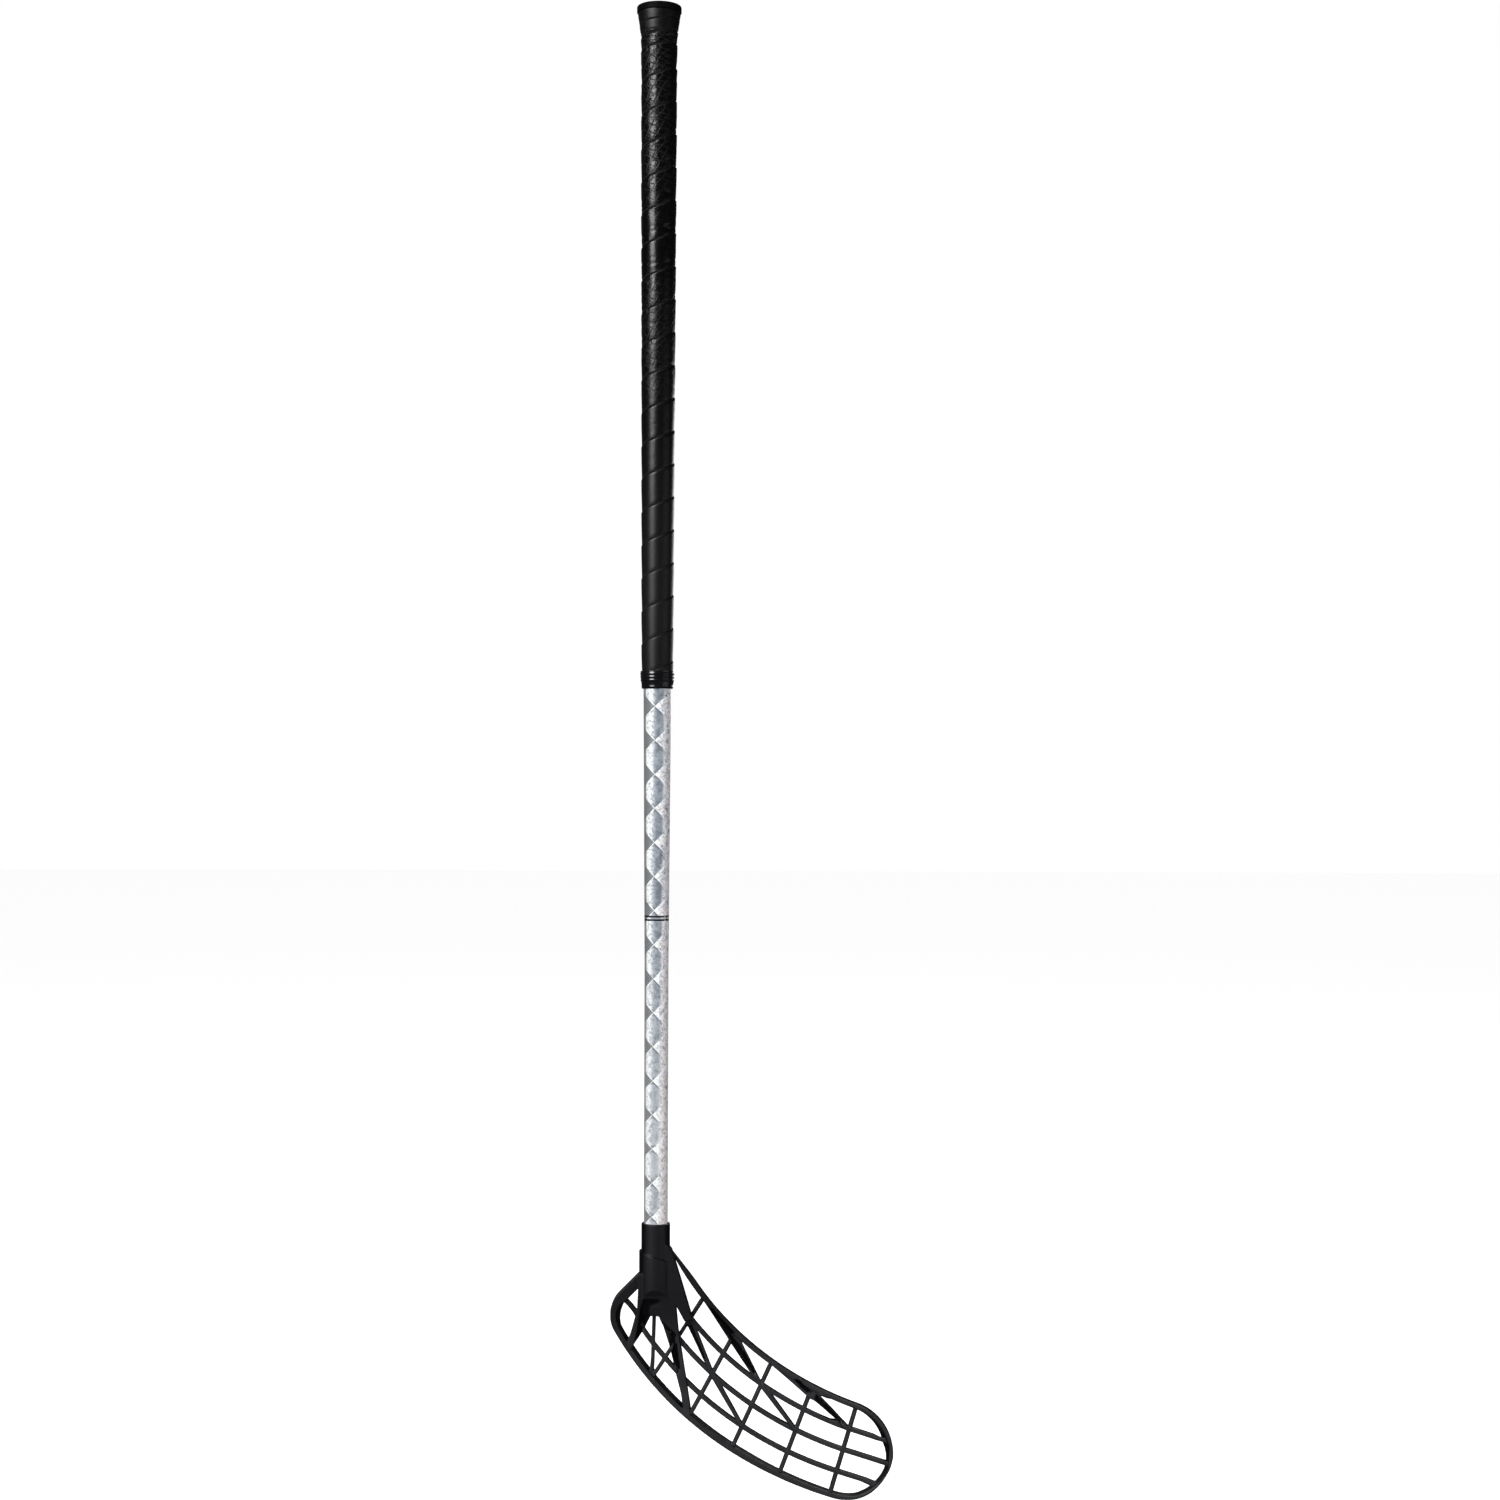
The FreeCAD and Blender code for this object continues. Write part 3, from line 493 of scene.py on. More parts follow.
class SilverFilm(Finish):
    """Printed silver: tapes cross each other, with lenses between crossings and wedges beside them."""

    def __init__(self):
        super().__init__("silver film")
        self.angle = self.around()
        self.climb = self.z - CROSSING_HEIGHT
        self.beside = self.angle - CROSSING_ANGLE - self.climb * CROSSING_DRIFT
        self.phase = (self.climb / CROSSING_PITCH + 0.5).fraction() - 0.5
        self.upper = self.z.ramp(*UPPER_FILM_START)
        self.heel_side = self.beside < 0
        self.tip_side = 1 - self.heel_side
        steeper = 1 + self.heel_side * (1 - self.upper) * HEEL_STEEPNESS
        self.edge = abs(self.beside) - abs(self.phase) * steeper * CROSSING_WIDTH
        self.wedge = self.edge.ramp(*EDGE_BLUR)
        self.cloud = self.grain(FILM_CLOUD_SCALE, 5.0, 0.65)
        self.crumple = self.grain(FILM_CRUMPLE_SCALE, 3.0, 0.6)

    def by_height(self, pair):
        """Colour that changes from the film's lower part to its upper part."""
        return self.mixed(*pair, self.upper)

    def limits(self, lower, upper):
        """Start and end of a ramp that move from the film's lower part to its upper part."""
        return [between(low, high, self.upper) for low, high in zip(lower, upper)]

    def lens(self):
        """White towards the heel and steel past its middle, darkest at the crossings."""
        core = self.beside.ramp(*LENS_CORE) * self.cloud.ramp(*FILM_CORE_SPREAD) * (0.3 + self.upper * 0.4)
        apex = 1 - abs(self.phase).ramp(*LENS_APEX)
        steel = self.mixed(self.by_height(STEEL), DARK_STEEL, core.at_least(apex * 0.75))
        shade = (self.beside + (self.crumple - 0.5) * 0.5).ramp(*LENS_SHADE)
        return self.mixed(FOIL_WHITE, steel, shade * (0.8 + self.cloud * 0.4))

    def side(self):
        """Cloudy, specked silver on the side of the blade's tip."""
        cloudy = self.cloud.ramp(*FILM_SIDE_SPREAD) * (0.25 + self.upper * 0.45)
        speck = self.grain(FILM_SPECK_SCALE, 3.0, 0.6).ramp(*FILM_SPECK_SPREAD)
        colour = self.mixed(self.by_height(SIDE_SILVER), SIDE_CLOUD, cloudy)
        return self.mixed(colour, SPECK_GREY, speck * 0.5)

    def pale_wedge(self, side):
        """White that goes over into the side."""
        band = (1 - self.edge.ramp(*PALE_BAND)) * (-self.phase < 0)
        share = (self.beside + self.upper * PALE_WEDGE_SHIFT).ramp(*PALE_WEDGE_END)
        return self.mixed(FOIL_WHITE, side, share * (1 - band * 0.7))

    def dark_wedge(self):
        """Hatched grey on the heel side."""
        hatch = ((self.beside - self.climb * CROSSING_SLOPE) * HATCHES).stripes()
        share = hatch.ramp(*HATCH_BLUR) * 0.75 + self.cloud * 0.3
        return self.mixed(self.by_height(HATCH_DARK), self.by_height(HATCH_LIGHT), share)

    def pattern(self):
        """Lenses that go over into the side, and the wedges beside them."""
        side = self.side()
        blotched = self.beside + (self.crumple - 0.5) * self.upper * 0.5
        past_lens = blotched.ramp(*self.limits(LOWER_LENS_END, UPPER_LENS_END))
        colour = self.mixed(self.lens(), side, past_lens)
        wedges = self.mixed(self.pale_wedge(side), self.dark_wedge(), self.heel_side)
        return self.mixed(colour, wedges, self.wedge)

    def lined(self, colour):
        """Adds the folds and glints along the tapes' edges, and painted shade as a grey strip down the
        heel-side flank.
        """
        fold = (1 - abs(self.edge + FOLD_OFFSET).ramp(*FOLD_BLUR)) * (self.phase < 0) * self.tip_side
        fold = fold * (1 - self.beside.ramp(*FOLD_END))
        colour = self.mixed(colour, DARK_STEEL, fold * 0.8)
        glint = 1 - abs(self.edge + GLINT_OFFSET - self.tip_side * (2 * GLINT_OFFSET)).ramp(*GLINT_BLUR)
        glint = glint * (1 - abs(self.beside).ramp(*GLINT_END))
        colour = self.mixed(colour, GLINT_WHITE, glint * 0.8)
        # Painted shade: grey down the flank on the heel side
        strip = (-self.angle).ramp(*self.limits(LOWER_EDGE_SHADE_START, UPPER_EDGE_SHADE_START))
        return self.mixed(colour, self.by_height(EDGE_SHADE_GREY), strip * (0.9 - self.wedge * self.upper * 0.6))

    def worn(self, colour):
        """Greys a colour where the film is scuffed, more so high on the shaft."""
        grain = self.grain(FILM_GRAIN_SCALE, 2.0, 0.6)
        wear = self.crumple.ramp(*FILM_CRUMPLE_SPREAD) * 0.35 + grain.ramp(*FILM_GRAIN_SPREAD) * 0.3
        return self.mixed(colour, WEAR_GREY, wear * (1 + self.upper * 0.35))

    def ink(self):
        """Where the film is black: a double ring with a break, and hair scratches."""
        hair = 1 - abs(self.grain(FILM_SCRATCH_SCALE, 2.0) - 0.5).ramp(*SCRATCH_BLUR)
        scratch = hair * self.cloud.ramp(*FILM_SCRATCH_SPREAD) * self.beside.ramp(*SCRATCH_START)
        ring_offset = abs(abs(self.z - RING_HEIGHT) - RING_HALF_GAP)
        unbroken = abs(self.angle - RING_BREAK_ANGLE).ramp(*RING_BREAK_BLUR)
        return ((ring_offset < RING_HALF_WIDTH) * unbroken).at_least(scratch * 0.85)


class Shape(Nodes):
    """A geometry tree with named inputs for its sizes."""

    def __init__(self, name, inputs):
        super().__init__(bpy.data.node_groups.new(name, "GeometryNodeTree"))
        self.inputs = {}
        for label, kind in inputs.items():
            self.inputs[label] = self.tree.interface.new_socket(label, in_out="INPUT", socket_type=kind)
        self.tree.interface.new_socket("Geometry", in_out="OUTPUT", socket_type="NodeSocketGeometry")
        self.entry = self.node("NodeGroupInput")

    def __getitem__(self, label):
        return Wire(self, self.entry.outputs[label])

    def attribute(self, name, kind="FLOAT"):
        return self.wire("GeometryNodeInputNamedAttribute", {"data_type": kind}, {"Name": name})

    def keep(self, geometry, name, value, kind="FLOAT"):
        """Stores a value on the points under a name."""
        sockets = {"Geometry": geometry, "Name": name, "Value": value}
        return self.wire("GeometryNodeStoreNamedAttribute", {"data_type": kind}, sockets)

    def end(self, geometry):
        real = self.wire("GeometryNodeRealizeInstances", sockets={0: geometry})
        sockets = {"Geometry": real, "Material": self["Material"]}
        painted = self.wire("GeometryNodeSetMaterial", sockets=sockets)
        self.node("NodeGroupOutput", sockets={0: painted})

    def mesh(self, base, values):
        """Plain mesh that the tree makes from a base mesh and the values of its inputs."""
        holder = bpy.data.objects.new(self.tree.name, base)
        bpy.context.scene.collection.objects.link(holder)
        modifier = holder.modifiers.new(self.tree.name, "NODES")
        modifier.node_group = self.tree
        for label, value in values.items():
            modifier[self.inputs[label].identifier] = value
        return plain_mesh(holder)


def plain_mesh(holder):
    """Mesh of an object with its modifiers worked in. The object itself is removed."""
    depsgraph = bpy.context.evaluated_depsgraph_get()
    evaluated = holder.evaluated_get(depsgraph)
    mesh = bpy.data.meshes.new_from_object(evaluated, preserve_all_data_layers=True, depsgraph=depsgraph)
    mesh.name = holder.name
    bpy.data.objects.remove(holder)
    return mesh


def faces_outward(mesh, sharp_angle=None):
    """Turns all faces outwards and shades the mesh smooth, with creases past an angle."""
    shape = bmesh.new()
    shape.from_mesh(mesh)
    bmesh.ops.remove_doubles(shape, verts=shape.verts, dist=MERGE_DISTANCE)
    bmesh.ops.recalc_face_normals(shape, faces=shape.faces)
    shape.to_mesh(mesh)
    shape.free()
    mesh.shade_smooth()
    if sharp_angle:
        mesh.set_sharp_from_angle(angle=sharp_angle)


def turned(name, profile):
    """Mesh turned about the shaft's axis from a closed loop of (radius, height) points."""
    points = []
    faces = []
    count = len(profile)
    for step in range(TURN_SEGMENTS):
        angle = FULL_TURN * step / TURN_SEGMENTS
        points += [(r * math.cos(angle), r * math.sin(angle), z) for r, z in profile]
        here = step * count
        there = (step + 1) % TURN_SEGMENTS * count
        for index in range(count):
            after = (index + 1) % count
            faces.append((here + index, there + index, there + after, here + after))
    mesh = bpy.data.meshes.new(name)
    mesh.from_pydata(points, [], faces)
    faces_outward(mesh, TURNED_SHARP_ANGLE)
    return mesh


def add_piece(name, mesh, material, body, slot, *nodes):
    """Puts a finished mesh in the scene as the piece that stands for the named solids."""
    mesh.materials.clear()
    mesh.materials.append(material)
    piece = bpy.data.objects.new(name, mesh)
    bpy.context.scene.collection.objects.link(piece)
    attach(piece, body)
    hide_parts(*nodes)


def between(start, end, share):
    return start + (end - start) * share


def arc(centre, radius, start, end, steps=12):
    """Points of an arc in a turned profile, from one angle in degrees to another."""
    angles = [math.radians(between(start, end, step / steps)) for step in range(steps + 1)]
    return [(centre[0] + radius * math.cos(a), centre[1] + radius * math.sin(a)) for a in angles]


def tube_radius(height):
    """Outer radius of the shaft tube at a height."""
    if height > TAPE_BOTTOM:
        share = (SHAFT_TOP - height) / (SHAFT_TOP - TAPE_BOTTOM)
        return between(TUBE_TOP_RADIUS, TUBE_WAIST_RADIUS, share)
    if height > PARALLEL_TOP:
        share = (TAPE_BOTTOM - height) / (TAPE_BOTTOM - PARALLEL_TOP)
        return between(TUBE_WAIST_RADIUS, TUBE_END_RADIUS, share)
    return TUBE_END_RADIUS


def sleeve(name, heights, inner_offset, outer_offset):
    """Ring that follows the shaft tube between the given heights, highest first."""
    inner = [(tube_radius(height) + inner_offset, height) for height in heights]
    outer = [(tube_radius(height) + outer_offset, height) for height in heights]
    return turned(name, inner + outer[::-1])


def composite_finish():
    """Black wound composite under a clear coat, as on the bare end of the tube."""
    finish = Finish("wound composite")
    tow = (finish.around() * TOWS_PER_RADIAN + finish.z / TOW_RISE).stripes()
    cloud = finish.grain(TOW_CLOUD_SCALE)
    colour = finish.mixed(*COMPOSITE_COLOURS, tow * cloud)
    roughness = COMPOSITE_ROUGHNESS + cloud * 0.12
    finish.set(Base_Color=colour, Roughness=roughness, Coat_Weight=COMPOSITE_COAT)
    finish.bump(tow, TOW_DEPTH, 0.4)
    return finish.material


def moulded_finish(name, colours, roughness, shine=0.5, grain_depth=MOULD_GRAIN_DEPTH):
    """Satin moulded plastic with a fine spark texture."""
    finish = Finish(name)
    grain = finish.grain(SPARK_SCALE, 2.0)
    cloud = finish.grain(MOULD_CLOUD_SCALE)
    finish.set(
        Base_Color=finish.mixed(*colours, cloud.ramp(*MOULD_CLOUD_SPREAD)),
        Roughness=roughness + (grain - 0.5) * 0.12 + (cloud - 0.5) * 0.1,
        Specular_IOR_Level=shine,
    )
    finish.bump(grain, grain_depth, 0.5)
    return finish.material


def blade_finish():
    """Black plastic: spark-textured faces, smoother walls, and painted shade on walls, hollows and neck."""
    finish = Finish("blade plastic")
    grain = finish.grain(SPARK_SCALE, 2.0)
    cloud = finish.grain(MOULD_CLOUD_SCALE)
    face = finish.attribute("front").ramp(*BLADE_FACE_START)
    neck = finish.z.ramp(*NECK_START)
    colour = finish.mixed(*BLADE_COLOURS, cloud.ramp(*MOULD_CLOUD_SPREAD))
    # Painted shade: darker towards the neck
    colour = finish.mixed(colour, BLADE_NECK_SHADE_COLOUR, neck)
    # Painted shade: nearly black where a wall turns away from front and back, and in the hollows
    colour = finish.mixed(BLADE_WALL_SHADE_COLOUR, colour, face)
    roughness = BLADE_WALL_ROUGHNESS + face * (0.22 - neck * 0.06) + (grain - 0.5) * 0.12
    finish.set(Base_Color=colour, Roughness=roughness)
    finish.bump(grain, BLADE_GRAIN_DEPTH, 0.5)
    return finish.material


def tape_finish():
    """Tacky black tape: black, glossy and embossed with a web above, smooth and duller below."""
    finish = Finish("grip tape")
    along = finish.attribute("along") / WEB_LENGTH
    across = finish.attribute("across") * WEBS_ACROSS
    first = abs((along + across).fraction() - 0.5)
    second = abs((along - across).fraction() - 0.5)
    web = 1 - first.at_most(second).ramp(*WEB_WIDTH)
    cloud = finish.grain(TAPE_CLOUD_SCALE)
    fine = finish.grain(TAPE_GRAIN_SCALE, 4.0)
    fleck = finish.grain(TAPE_FLECK_SCALE, 2.0).ramp(*TAPE_FLECK_SPREAD)
    knob = finish.z.ramp(*KNOB_EDGE)
    upper = finish.z.ramp(*UPPER_WEB_START) * (1 - knob)
    middle = finish.z.ramp(*MIDDLE_WEB_START) * (1 - finish.z.ramp(*MIDDLE_WEB_END))
    embossed = upper.at_least(middle * 0.8) * cloud.ramp(*TAPE_EMBOSS_SPREAD)
    worn = finish.z.ramp(*WORN_START)
    handled = finish.z.ramp(*HANDLED_START)
    groove = finish.attribute("groove")
    lower_colour = finish.mixed(*LOWER_TAPE_COLOURS, cloud)
    worn_colour = finish.mixed(*WORN_TAPE_COLOURS, cloud)
    dull = knob * 0.2 + (web * 0.3 + fleck * 0.14) * embossed
    roughness = TAPE_ROUGHNESS - worn * 0.13 - handled * 0.05 + (fine - 0.5) * 0.12 + dull
    finish.set(
        Base_Color=finish.mixed(lower_colour, worn_colour, worn),
        Roughness=roughness.at_least(groove * GROOVE_ROUGHNESS),
    )
    finish.bump((web + fleck * 0.5) * embossed * -0.6 + fine * 0.25, TAPE_EMBOSS_DEPTH, 0.8)
    return finish.material


def film_finish():
    """Silver film printed with tapes that cross each other, and a double black ring."""
    film = SilverFilm()
    ink = film.ink()
    film.set(
        Base_Color=film.mixed(film.worn(film.lined(film.pattern())), INK_BLACK, ink),
        Metallic=FILM_METAL * (1 - ink),
        Roughness=FILM_ROUGHNESS + film.cloud * 0.12,
        Coat_Weight=FILM_COAT,
    )
    film.bump(film.crumple, FILM_CRUMPLE_DEPTH, 0.4)
    return film.material


def winding_tree(sizes):
    """Tree that carries the tape's section round and up the grip by its turns."""
    tree = Shape("grip_winding", {
        "Section": "NodeSocketGeometry",
        "Steps": "NodeSocketInt",
        **dict.fromkeys(sizes, "NodeSocketFloat"),
        "Material": "NodeSocketMaterial",
    })

    def seam(turns):
        on_grip = turns.at_least(0).at_most(tree["Grip turns"])
        on_knob = (turns - tree["Grip turns"]).at_least(0).at_most(tree["Knob turns"])
        return tree["Bottom"] + on_grip * tree["Grip pitch"] + on_knob * tree["Knob pitch"]

    # The tape as a strip: its section swept along a line of steps, each with its count of turns
    index = tree.wire("GeometryNodeInputIndex")
    step = (tree["Last turn"] - tree["First turn"]) / tree["Steps"]
    line = tree.wire("GeometryNodeMeshLine", sockets={"Count": tree["Steps"] + 1})
    line = tree.keep(line, "turn", tree["First turn"] + index * step)
    rail = tree.wire("GeometryNodeMeshToCurve", sockets={0: line})
    position = tree.wire("GeometryNodeInputPosition")
    section = tree.keep(tree["Section"], "section", position, "FLOAT_VECTOR")
    section = tree.wire("GeometryNodeMeshToCurve", sockets={0: section})
    sockets = {"Curve": rail, "Profile Curve": section, "Fill Caps": True}
    tape = tree.wire("GeometryNodeCurveToMesh", sockets=sockets)

    # Height and seat of each point
    turn = tree.attribute("turn")
    share, offset, height = tree.split(tree.attribute("section", "FLOAT_VECTOR"))
    low = seam(turn - 1)
    high = seam(turn)
    z = (low + share * (high - low) + offset).at_least(tree["Bottom"]).at_most(tree["Top"])
    on_tube = tree["Tube radius"] + (z - tree["Bottom"]) * tree["Tube taper"]
    on_flare = tree["Flare radius"] + (z - tree["Flare bottom"]) * tree["Flare taper"]
    seat = on_tube.at_least(on_flare) + tree["Bond gap"]
    angle = tree["Start angle"] + turn * FULL_TURN
    east = angle.maths("COSINE")
    north = angle.maths("SINE")
    knob = z.ramp(*KNOB_EDGE)
    face = height.ramp(*TAPE_FACE_START)
    height = height + (tree["Knob height"] - height) * (knob * face * KNOB_EVENNESS)
    radius = seat + height

    # Wrinkles and creases in the face
    smooth_place = tree.joined(radius * east, radius * north, z)
    waves = tree.noise(tree.scaled(smooth_place, WRINKLE_STRETCH), WRINKLE_SCALE, 3.0)
    wrinkle = (waves - 0.5) * tree["Wrinkle"]
    valley = abs(tree.noise(tree.scaled(smooth_place, CREASE_STRETCH), CREASE_SCALE, 2.0) - 0.5)
    crease = (1 - valley.ramp(*CREASE_WIDTH)) * tree["Crease"] * z.ramp(*CREASES_START)
    soft = (1 - knob * KNOB_SMOOTHNESS) * height.ramp(*TAPE_SOFT_START)
    radius = radius + (wrinkle - crease) * soft
    place = tree.joined(radius * east, radius * north, z)

    tape = tree.keep(tape, "across", share)
    tape = tree.keep(tape, "groove", 1 - face)
    tape = tree.keep(tape, "along", turn * FULL_TURN * seat)
    tree.end(tree.wire("GeometryNodeSetPosition", sockets={"Geometry": tape, "Position": place}))
    return tree


def tape_section():
    """Closed loop of the tape's section, up its lower edge, over its face and down its upper edge."""
    face = []
    for step in range(TAPE_FACE_STEPS + 1):
        part = step / TAPE_FACE_STEPS
        face.append((between(*TAPE_FACE_SHARES, part), 0, between(*TAPE_FACE_HEIGHTS, part)))
    points = [*TAPE_LOWER_EDGE, *face, *TAPE_UPPER_EDGE]
    count = len(points)
    mesh = bpy.data.meshes.new("tape_section")
    mesh.from_pydata(points, [(i, (i + 1) % count) for i in range(count)], [])
    return mesh


def wound_tape():
    """The grip tape, one lapped section wound up the grip, with closer turns on the flare."""
    sizes = {
        "First turn": TAPE_FIRST_TURN,
        "Last turn": TAPE_LAST_TURN,
        "Start angle": TAPE_START_ANGLE,
        "Bottom": TAPE_BOTTOM,
        "Top": TAPE_TOP,
        "Grip turns": float(GRIP_TURNS),
        "Grip pitch": GRIP_PITCH,
        "Knob turns": float(KNOB_TURNS),
        "Knob pitch": KNOB_PITCH,
        "Knob height": KNOB_TAPE_HEIGHT,
        "Tube radius": TUBE_WAIST_RADIUS,
        "Tube taper": (TUBE_TOP_RADIUS - TUBE_WAIST_RADIUS) / (SHAFT_TOP - TAPE_BOTTOM),
        "Flare bottom": FLARE_BOTTOM,
        "Flare radius": FLARE_FOOT_RADIUS,
        "Flare taper": (FLARE_RADIUS - FLARE_FOOT_RADIUS) / (TAPE_TOP - FLARE_BOTTOM),
        "Bond gap": BOND_GAP,
        "Wrinkle": TAPE_WRINKLE,
        "Crease": TAPE_CREASE,
    }
    steps = round((TAPE_LAST_TURN - TAPE_FIRST_TURN) * TAPE_STEPS_PER_TURN)
    finish = tape_finish()
    mesh = winding_tree(sizes).mesh(tape_section(), {"Steps": steps, **sizes, "Material": finish})
    faces_outward(mesh, TAPE_SHARP_ANGLE)
    add_piece("grip_tape_winding", mesh, finish, "shaft", "grip_tape", "grip_tape")


def end_cap():
    """Cap with a flat top, a rounded edge and a hollow plug."""
    top = [(0, BUTT)] + arc((CAP_RADIUS - CAP_ROUNDING, BUTT - CAP_ROUNDING), CAP_ROUNDING, 90, 0)
    bore = PLUG_RADIUS - PLUG_WALL
    under = [
        (CAP_RADIUS, SHAFT_TOP),
        (PLUG_RADIUS, SHAFT_TOP),
        (PLUG_RADIUS, PLUG_BOTTOM),
        (bore, PLUG_BOTTOM),
        (bore, SHAFT_TOP),
        (0, SHAFT_TOP),
    ]
    finish = moulded_finish("cap plastic", CAP_COLOURS, CAP_ROUGHNESS, CAP_SHINE)
    add_piece("butt_cap", turned("butt_cap", top + under), finish, "shaft", "cap_plastic", "end_cap")


def grip_collar():
    """Rubber collar with round ribs, smaller towards its foot."""
    length = COLLAR_TOP - COLLAR_BOTTOM
    outer = []
    for step in range(COLLAR_STEPS + 1):
        share = step / COLLAR_STEPS
        radius = between(COLLAR_TOP_RADIUS, COLLAR_FOOT_RADIUS, share ** 2)
        for crest in COLLAR_RIB_SHARES:
            aside = (share - crest) * length / COLLAR_RIB_WIDTH
            radius += COLLAR_RIB_HEIGHT * math.exp(-(2 * aside) ** 2)
        outer.append((radius, COLLAR_TOP - share * length))
    lip_bore = COLLAR_TOP_RADIUS - COLLAR_LIP_WALL
    bore = [
        (COLLAR_BORE_RADIUS, COLLAR_BOTTOM),
        (COLLAR_BORE_RADIUS, FILM_TOP),
        (lip_bore, FILM_TOP),
        (lip_bore, COLLAR_TOP),
    ]
    finish = moulded_finish(
        "collar rubber", COLLAR_COLOURS, COLLAR_ROUGHNESS, COLLAR_SHINE, COLLAR_GRAIN_DEPTH)
    mesh = turned("ribbed_collar", outer + bore)
    add_piece("ribbed_collar", mesh, finish, "shaft", "collar_rubber", "grip_collar")


def shaft():
    """The tube, dark where it is bare, the silver film on it and the foam ring at its top."""
    tube = sleeve("wound_tube", (SHAFT_TOP, TAPE_BOTTOM, PARALLEL_TOP, SHAFT_END), -TUBE_WALL, 0)
    add_piece("wound_tube", tube, composite_finish(), "shaft", "shaft_composite", "shaft_tube")
    film = sleeve("silver_film", (FILM_TOP, PARALLEL_TOP, FILM_BOTTOM), BOND_GAP, BOND_GAP + FILM_THICKNESS)
    add_piece("silver_film", film, film_finish(), "shaft", "silver_film", "print_film")
    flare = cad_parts["flare_ring"]
    flare.data.materials.clear()
    flare.data.materials.append(moulded_finish("flare foam", FOAM_COLOURS, FOAM_ROUGHNESS))


def eased(start, end, values):
    """Goes smoothly from 0 where the values are at the start to 1 at the end."""
    share = numpy.clip((values - start) / (end - start), 0, 1)
    return share * share * (3 - 2 * share)


def stepped(values, share):
    """Values given at even steps, read at shares of the way along them."""
    return numpy.interp(share, numpy.linspace(0, 1, len(values)), values)


def vectors(mesh, name):
    """Places or normals of a mesh's points, one row each."""
    values = numpy.empty(len(mesh.vertices) * 3)
    mesh.vertices.foreach_get(name, values)
    return values.reshape(-1, 3)


def front_share(points):
    """How far each point is from the back of the rim, 0, to its front, 1."""
    bend = numpy.clip(points[:, 0] - HOOK_START, 0, None)
    middle = numpy.sqrt(HOOK_RADIUS ** 2 - bend ** 2) - HOOK_RADIUS
    return numpy.clip(0.5 - (points[:, 1] - middle) / RIM_DEPTH, 0, 1)


def lean_rim(points, front):
    """Leans the inner wall of the rim, so that it shows in front, and draws in its outer wall.

    Returns how far inside the edge each point is.
    """
    flat = points[:, (0, 2)]
    nearest = numpy.full(len(points), numpy.inf)
    moves = numpy.zeros_like(flat)
    for centre, radius, side, first, last, width, *walls in RIM_ARCS:
        out = flat - numpy.array(centre) * MM
        distance = numpy.hypot(out[:, 0], out[:, 1])
        inside = (radius * MM - distance) * side
        angle = numpy.degrees(numpy.arctan2(out[:, 1], out[:, 0]))
        share = (angle - first) % 360 / (last - first)
        chosen = (share <= 1) & (inside > -RIM_LEAN_START) & (inside < nearest)
        before, behind, outer = [stepped(wall, share) for wall in walls]
        lean = (before * front - behind * (1 - front)) * MM * eased(RIM_LEAN_START, width * MM, inside)
        lean *= 1 - eased(width * MM, width * MM + RIM_LEAN_FADE, inside)
        lean -= outer * MM * (1 - eased(0, width * MM, inside))
        move = out * (side * lean / numpy.maximum(distance, MM))[:, None]
        moves[chosen] = move[chosen]
        nearest[chosen] = inside[chosen]
    points[:, (0, 2)] = flat + moves
    return nearest


def fuller_cross_ribs(points, normals, inside):
    """Moves out the walls of the ribs that run across the blade."""
    out = points[:, (0, 2)] - numpy.array(CROSS_RIB_CENTRE)
    along = numpy.stack((-out[:, 1], out[:, 0]), axis=1) / numpy.hypot(out[:, 0], out[:, 1])[:, None]
    share = eased(*CROSS_RIB_FACING, numpy.abs((normals[:, (0, 2)] * along).sum(axis=1)))
    share *= eased(*CROSS_RIB_INSIDE, inside) * (points[:, 0] > CROSS_RIB_START)
    points += normals * (CROSS_RIB_GROWTH * share)[:, None]


def slimmer_web(points):
    """Draws the web nearest the tip in towards its middle line."""
    start, end = numpy.array(TIP_WEB)
    length = numpy.hypot(*(end - start))
    along = (end - start) / length
    out = numpy.array((-along[1], along[0]))
    flat = points[:, (0, 2)] - start
    run = flat @ along / length
    aside = flat @ out
    share = eased(0, TIP_WEB_ENDS, run) * (1 - eased(1 - TIP_WEB_ENDS, 1, run))
    share *= 1 - eased(*TIP_WEB_REACH, numpy.abs(aside))
    points[:, (0, 2)] -= out * (TIP_WEB_SLIMMING * share * aside)[:, None]


def sink_hollows(points, front):
    """Sinks the hollows in the front. Returns each point's share in them."""
    flat = points[:, (0, 2)]
    deep = numpy.zeros(len(points))
    for corners in HOLLOWS:
        corners = numpy.array(corners) * MM
        inside = numpy.full(len(points), numpy.inf)
        for start, end in zip(corners, numpy.roll(corners, -1, axis=0)):
            along = (end - start) / numpy.hypot(*(end - start))
            inside = numpy.minimum(inside, (flat - start) @ (along[1], -along[0]))
        deep = numpy.maximum(deep, eased(0, HOLLOW_EASE, inside))
    deep *= eased(*HOLLOW_FRONT, front)
    points[:, 1] += HOLLOW_DEPTH * deep
    return deep


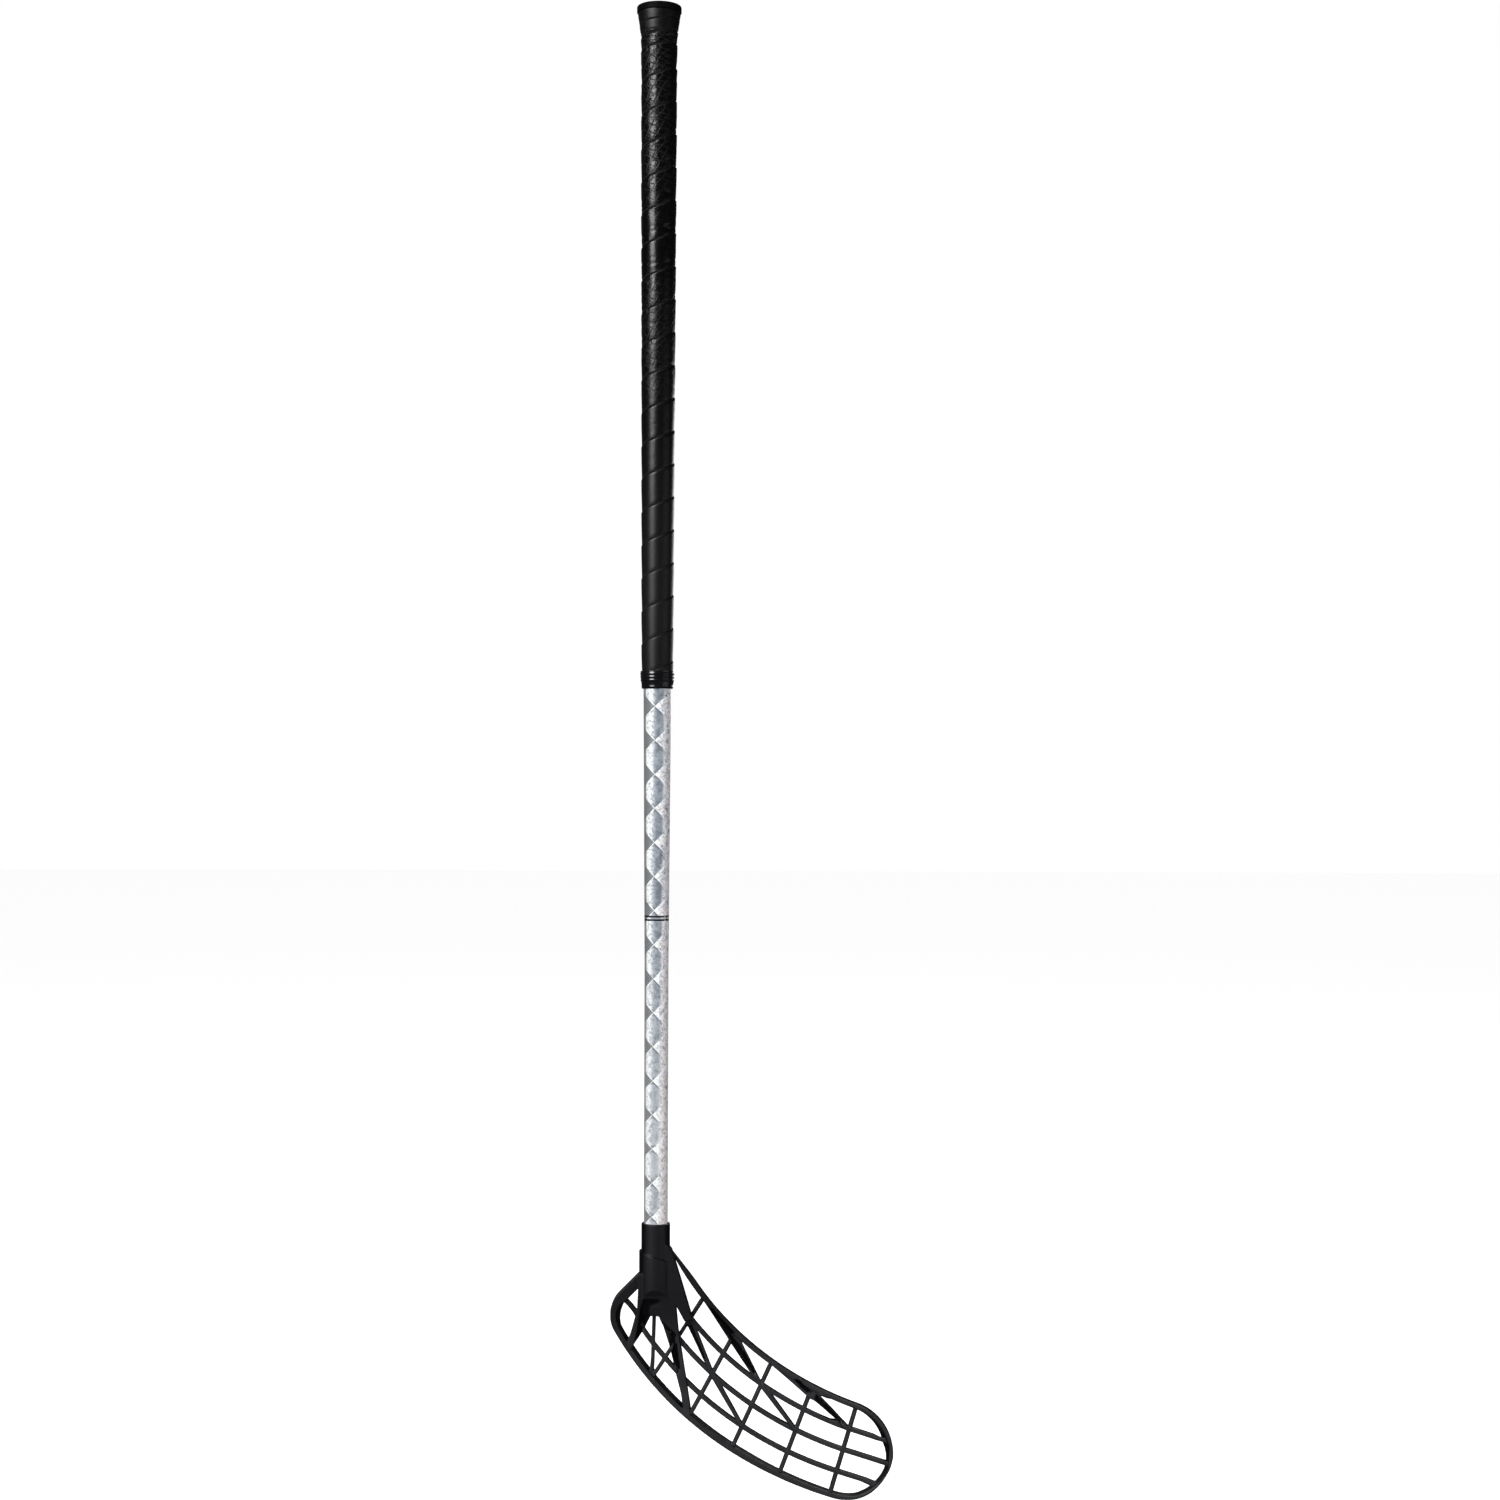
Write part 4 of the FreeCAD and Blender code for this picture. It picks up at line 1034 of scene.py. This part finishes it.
def eased_moulding():
    """Mesh of the blade's solid with its edges eased and its corners filleted."""
    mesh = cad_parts["blade"].data.copy()
    faces_outward(mesh)
    holder = bpy.data.objects.new("open_blade", mesh)
    bpy.context.scene.collection.objects.link(holder)
    remesh = holder.modifiers.new("moulding", "REMESH")
    remesh.mode = "VOXEL"
    remesh.voxel_size = BLADE_VOXEL
    ease = holder.modifiers.new("eased edges", "SMOOTH")
    ease.factor = BLADE_SMOOTHING
    ease.iterations = BLADE_SMOOTHING_PASSES
    fuller = holder.modifiers.new("what the easing took", "DISPLACE")
    fuller.strength = BLADE_GROWTH
    fuller.mid_level = 0
    thin = holder.modifiers.new("fewer faces", "DECIMATE")
    thin.ratio = BLADE_KEEP_SHARE
    mesh = plain_mesh(holder)
    faces_outward(mesh)
    return mesh


def blade():
    """The blade's moulding, with its rim, ribs, web and hollows worked finer than in the solid."""
    mesh = eased_moulding()
    points = vectors(mesh, "co")
    front = front_share(points)
    inside = lean_rim(points, front)
    fuller_cross_ribs(points, vectors(mesh, "normal"), inside)
    slimmer_web(points)
    hollow = sink_hollows(points, front)
    mesh.vertices.foreach_set("co", numpy.clip(points, *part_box("blade")).ravel())
    mesh.update()
    # How squarely each point faces front or back, 0 in the hollows; the finish paints shade where it is low
    facing = mesh.attributes.new("front", "FLOAT", "POINT")
    facing.data.foreach_set("value", numpy.abs(vectors(mesh, "normal")[:, 1]) * (1 - hollow))
    add_piece("open_blade", mesh, blade_finish(), "blade", "blade_plastic", "blade")


def pale_floor():
    """A wide plain floor, below the blade also when it is drawn off."""
    mesh = bpy.data.meshes.new("floor")
    height = BLADE_BOTTOM - FLOOR_ROOM
    corners = [(-1, -1), (1, -1), (1, 1), (-1, 1)]
    mesh.from_pydata([(x * FLOOR_REACH, y * FLOOR_REACH, height) for x, y in corners], [], [(0, 1, 2, 3)])
    finish = Finish("pale floor")
    finish.set(
        Base_Color=finish.mixed(*FLOOR_COLOURS, finish.grain(FLOOR_CLOUD_SCALE)),
        Roughness=FLOOR_ROUGHNESS,
        Emission_Color=WHITE,
        Emission_Strength=FLOOR_GLOW,
    )
    mesh.materials.append(finish.material)
    floor = bpy.data.objects.new("floor", mesh)
    bpy.context.scene.collection.objects.link(floor)
    floor.visible_glossy = False
    floor.visible_diffuse = False


def softbox(name, place, target, width, height, power, mirrored):
    """Rectangular light at a place, turned to a target. It may be left out of reflections."""
    light = bpy.data.lights.new(name, "AREA")
    light.shape = "RECTANGLE"
    light.size = width
    light.size_y = height
    light.energy = power
    lamp = bpy.data.objects.new(name, light)
    lamp.location = place
    lamp.rotation_euler = (Vector(target) - Vector(place)).to_track_quat("-Z", "Y").to_euler()
    lamp.visible_camera = False
    lamp.visible_glossy = mirrored
    bpy.context.scene.collection.objects.link(lamp)


def studio():
    """White surroundings for the eye, dark ones for the light, and soft boxes all round."""
    world = bpy.data.worlds.new("studio")
    bpy.context.scene.world = world
    world.use_nodes = True
    nodes = Nodes(world.node_tree)
    world.node_tree.nodes.clear()
    seen = nodes.wire("ShaderNodeLightPath", out="Is Camera Ray")
    colour = nodes.mixed(DARK_ROOM, WHITE, seen)
    background = nodes.wire("ShaderNodeBackground", sockets={"Color": colour, "Strength": 1.0})
    nodes.node("ShaderNodeOutputWorld", sockets={"Surface": background})
    for box in SOFT_BOXES:
        softbox(*box)


def camera():
    """The eye, level and in front of the blade's hollow face."""
    data = bpy.data.cameras.new("camera")
    data.sensor_width = SENSOR_WIDTH
    data.lens = SENSOR_WIDTH * -CAMERA_PLACE.y / FRAME_HEIGHT
    eye = bpy.data.objects.new("camera", data)
    eye.location = CAMERA_PLACE
    eye.rotation_euler = (math.radians(90), CAMERA_ROLL, 0)
    bpy.context.scene.collection.objects.link(eye)
    bpy.context.scene.camera = eye


bpy.context.scene.view_settings.view_transform = "Standard"
shaft()
end_cap()
wound_tape()
grip_collar()
blade()
pale_floor()
studio()
camera()
